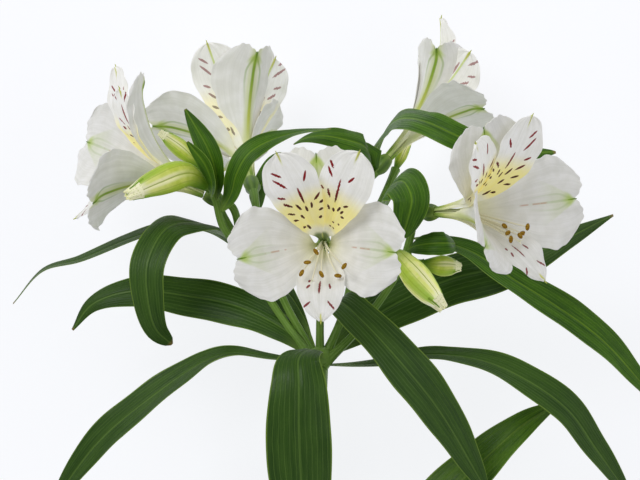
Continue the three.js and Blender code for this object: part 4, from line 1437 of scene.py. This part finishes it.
def dashes(paint, marks):
    """The share of each point that the dashes cover."""
    ragged = paint.noise(paint.flat, 1.6, 3) - 0.5
    level = paint.node("ShaderNodeCombineXYZ", {}, {0: paint.x + ragged * 0.7, 1: paint.y + ragged})
    nearest = None
    for x, y, length, lean in marks:
        sockets = {"Vector": level, "Location": (x, y, 0), "Rotation": (0, 0, -math.radians(lean)),
                   "Scale": (DASH_WIDTH / 2, length / 2, 1)}
        mark = paint.node("ShaderNodeMapping", {"vector_type": "TEXTURE"}, sockets).length()
        nearest = mark if nearest is None else nearest.least(mark)
    return nearest.rise(1.12, 0.8)


# %% Inner petals
def inner_paint(name, guide):
    paint = PetalPaint(name, foot=0.6)
    t = paint.t
    warm = paint.noise(paint.pulled(5, 3), 1, 2) * 0.5 + 0.6
    blotch = t.rise(0.32, 0.42) * t.rise(0.76, 0.6) * warm
    paint.lay(blotch * (paint.inside * 0.4 + 0.45), srgb(246, 232, 112))
    paint.lay(t.rise(0.3, 0.22) * paint.inside * 0.85, srgb(84, 112, 44))
    paint.lay(paint.line(0.55) * t.rise(0.5, 0.8) * paint.outside * 0.75, srgb(184, 202, 96))
    ink = paint.mix(t.rise(0.6, 0.76), srgb(66, 22, 4), srgb(128, 6, 14))
    paint.lay(dashes(paint, guide) * (paint.inside * 0.3 + 0.7), ink)
    paint.lay(paint.line(0.6) * t.rise(0.9, 0.98) * 0.8, srgb(196, 200, 96))
    return paint.done()


# %% Lower petals
def lower_paint():
    paint = PetalPaint("lower petal", glow=OUTER_GLOW)
    paint.lay(dashes(paint, LOWER_MARKS) * (0.95 - paint.outside * 0.75), srgb(124, 10, 20))
    paint.lay(paint.line(0.6) * paint.t.rise(0.92, 0.98) * 0.7, srgb(196, 200, 96))
    paint.lay(paint.line(0.8) * paint.t.rise(0.5, 0.8) * paint.outside * 0.6, srgb(170, 190, 90))
    return paint.done()


# %% Petals
petal_paints = [
    outer_paint(),
    inner_paint("left inner petal", LEFT_GUIDE),
    inner_paint("right inner petal", mirrored(LEFT_GUIDE)),
    inner_paint("right inner petal of the front", RIGHT_GUIDE),
    lower_paint(),
    horn_paint("green horn", srgb(132, 166, 44), srgb(92, 124, 26)),
    horn_paint("pale horn", srgb(212, 212, 120), srgb(190, 196, 84)),
]
OUTER, LEFT_INNER, RIGHT_INNER, FRONT_INNER, LOWER, GREEN_HORN, PALE_HORN = range(7)
STRAIGHT_UP = 90


def paints_of(bloom_name, kind, degrees):
    """The numbers of a tepal's own paint and of its horn's."""
    if kind == "outer":
        return OUTER, GREEN_HORN
    if kind == "lower":
        return LOWER, PALE_HORN
    if degrees > STRAIGHT_UP:
        return LEFT_INNER, PALE_HORN
    return (FRONT_INNER if bloom_name == "front" else RIGHT_INNER), PALE_HORN


for name, bloom in BLOOMS.items():
    parts = []
    for pose in bloom["tepals"]:
        own, its_horn = paints_of(name, *pose[:2])
        parts += [(tepal(*pose), own), (horn(*pose), its_horn)]
    piece = finished(f"petals_of_{name}_bloom", f"{name}_bloom_tepals", "tepals", parts, petal_paints,
                     on_ray(bloom))
    print(name, "petals:", len(piece.data.polygons), "faces")

# %% [markdown]
# ## Ovaries
#
# Below the petals sits the ovary, a small green barrel with six ribs. A lathe would make it round,
# so it is a rod again, whose radius also depends on the angle.

# %% Ovary
OVARY_RIBS = 6
OVARY_RIB_DEPTH = 0.09


def ovary_paint():
    paint = Paint("ovary", roughness=0.42, specular=0.4)
    angle, along = paint.on_rod()
    where = paint.in_object()
    rib = (angle * OVARY_RIBS).cosine() * 0.5 + 0.5
    green = paint.mix(rib, srgb(84, 118, 46), srgb(120, 152, 66))
    green = paint.mix(along.rise(0.7, 1.0) * 0.6, green, srgb(156, 180, 84))
    paint.colour(paint.mix(paint.noise(where, 500) * 0.3, green, srgb(70, 100, 40)))
    paint.relief(paint.noise(where, 1200), 0.05)
    return paint


OVARY_RADIUS = profile([[0, 1.7], [0.35, 2.9], [0.6, 3.1], [0.85, 2.8], [1, 2.3]])


def ovary():
    def radius(t, angle):
        rib = np.sin(np.pi * np.clip(t, 0, 1)) * np.cos(OVARY_RIBS * angle)
        return OVARY_RADIUS(t) * (1 + OVARY_RIB_DEPTH * rib)

    return rod([[0, 0, -OVARY_LENGTH], [0, 0, -OVARY_LENGTH / 2], [0, 0, 0.3]], radius, 60, 28)


ovary_skin = ovary_paint()
for name, bloom in BLOOMS.items():
    finished(f"seed_case_of_{name}_bloom", f"{name}_bloom_ovary", "ovary", [(ovary(), 0)],
             [ovary_skin], on_ray(bloom))
print("ovaries:", len(BLOOMS))

# %% [markdown]
# ## Stamens
#
# Six thin filaments come out of the tube and bow down in front of the lower petals. Each ends in a
# small anther, an oval pillow with furrows down it, dusted with ochre pollen. The style stands among
# them and splits in three. Threads are rods of eight or ten sides, since nobody sees more.

# %% Thread and pollen paints
def thread_paint():
    paint = Paint("cream thread", roughness=0.45, specular=0.4)
    *_, along = paint.attribute("place").parts()
    paint.colour(paint.mix(along.rise(0.0, 0.5), srgb(206, 214, 150), srgb(240, 236, 212)))
    return paint


def pollen_paint():
    paint = Paint("ochre pollen", roughness=0.85, specular=0.2)
    grain = paint.noise(paint.in_object(), 2600, 2).rise(0.3, 0.7)
    paint.colour(paint.mix(grain, srgb(124, 86, 12), srgb(184, 146, 44)))
    paint.relief(grain, 0.12)
    return paint


# %% Stamens
ANTHERS = [[-1.5, -3.5, 30], [-4.5, -7.5, 34], [-6.5, -11.5, 37], [1, -12, 39], [7, -12.5, 36],
           [9.5, -9, 40]]
STIGMA = [-2.5, -14.5, 40]
ANTHER_CENTRE = np.array([1, -9.5, 36])
ANTHER_SIZE = (0.85, 1.45, 0.75)  # half its width, length and thickness
FURROW = 0.22
FIRST_FILAMENT = 110  # degrees
FILAMENT_RADIUS = 0.4
LOBES = 3
LOBE_APART = 2.1  # radians


def gathered_tip(tip, bloom):
    """A thread's end: `bunch` draws the ends together, and `mouth` keeps them inside a narrow bloom."""
    lean = np.array([bloom["mouth"], bloom["mouth"], 1])
    return lean * (ANTHER_CENTRE + (np.array(tip) - ANTHER_CENTRE) * bloom["bunch"])


def thread(tip, i):
    x, y, z = tip
    turn = math.radians(FIRST_FILAMENT + TEPALS_APART * i)
    spread = 1 if i < len(ANTHERS) else 0
    start = [spread * math.cos(turn), spread * math.sin(turn), 0.8]
    in_tube = [start[0] * 0.8 + x * 0.06, start[1] * 0.8 + y * 0.06, z * 0.35]
    route = Route([start, in_tube, [x * 0.5, y * 0.52, z * 0.72], [x, y, z]])
    return rod(route, lambda t, angle: FILAMENT_RADIUS * (1.1 - 0.35 * t) + 0 * angle, 10, 36)


def anther(tip, i):
    """An oval pillow, furrowed along its length."""
    bm = bmesh.new()
    bmesh.ops.create_uvsphere(bm, u_segments=20, v_segments=14, radius=1)
    wide, long, thick = ANTHER_SIZE
    for vert in bm.verts:
        angle = math.atan2(vert.co.z, vert.co.x)
        furrow = 1 - FURROW * math.cos(2 * angle) ** 8
        vert.co.x *= wide * furrow
        vert.co.z *= thick * furrow
        vert.co.y *= long
    turn = i - len(ANTHERS) / 2 + 0.5
    for vert in bm.verts:
        x, y, z = vert.co
        vert.co.x = math.cos(turn) * x - math.sin(turn) * y + tip[0]
        vert.co.y = math.sin(turn) * x + math.cos(turn) * y + tip[1]
        vert.co.z = z + tip[2]
    with_layers(bm)
    return bm


def stigma_lobes(end):
    for i in range(LOBES):
        turn = LOBE_APART * i
        away = np.array([math.cos(turn), math.sin(turn), 0])
        route = Route([end, end + away * 0.5 + [0, 0, 0.7], end + away * 1.2 + [0, 0, 1.0]])
        yield rod(route, lambda t, angle: 0.26 - 0.12 * t + 0 * angle, 8, 8)


threads, pollen = thread_paint(), pollen_paint()
for name, bloom in BLOOMS.items():
    *anther_tips, stigma = [gathered_tip(tip, bloom) for tip in [*ANTHERS, STIGMA]]
    parts = [(thread(tip, i), 0) for i, tip in enumerate([*anther_tips, stigma])]
    parts += [(anther(tip, i), 1) for i, tip in enumerate(anther_tips)]
    parts += [(lobe, 0) for lobe in stigma_lobes(stigma)]
    finished(f"threads_of_{name}_bloom", f"{name}_bloom_stamens", "stamens", parts,
             [threads, pollen], on_ray(bloom))
print("stamens:", len(BLOOMS) * len(ANTHERS))
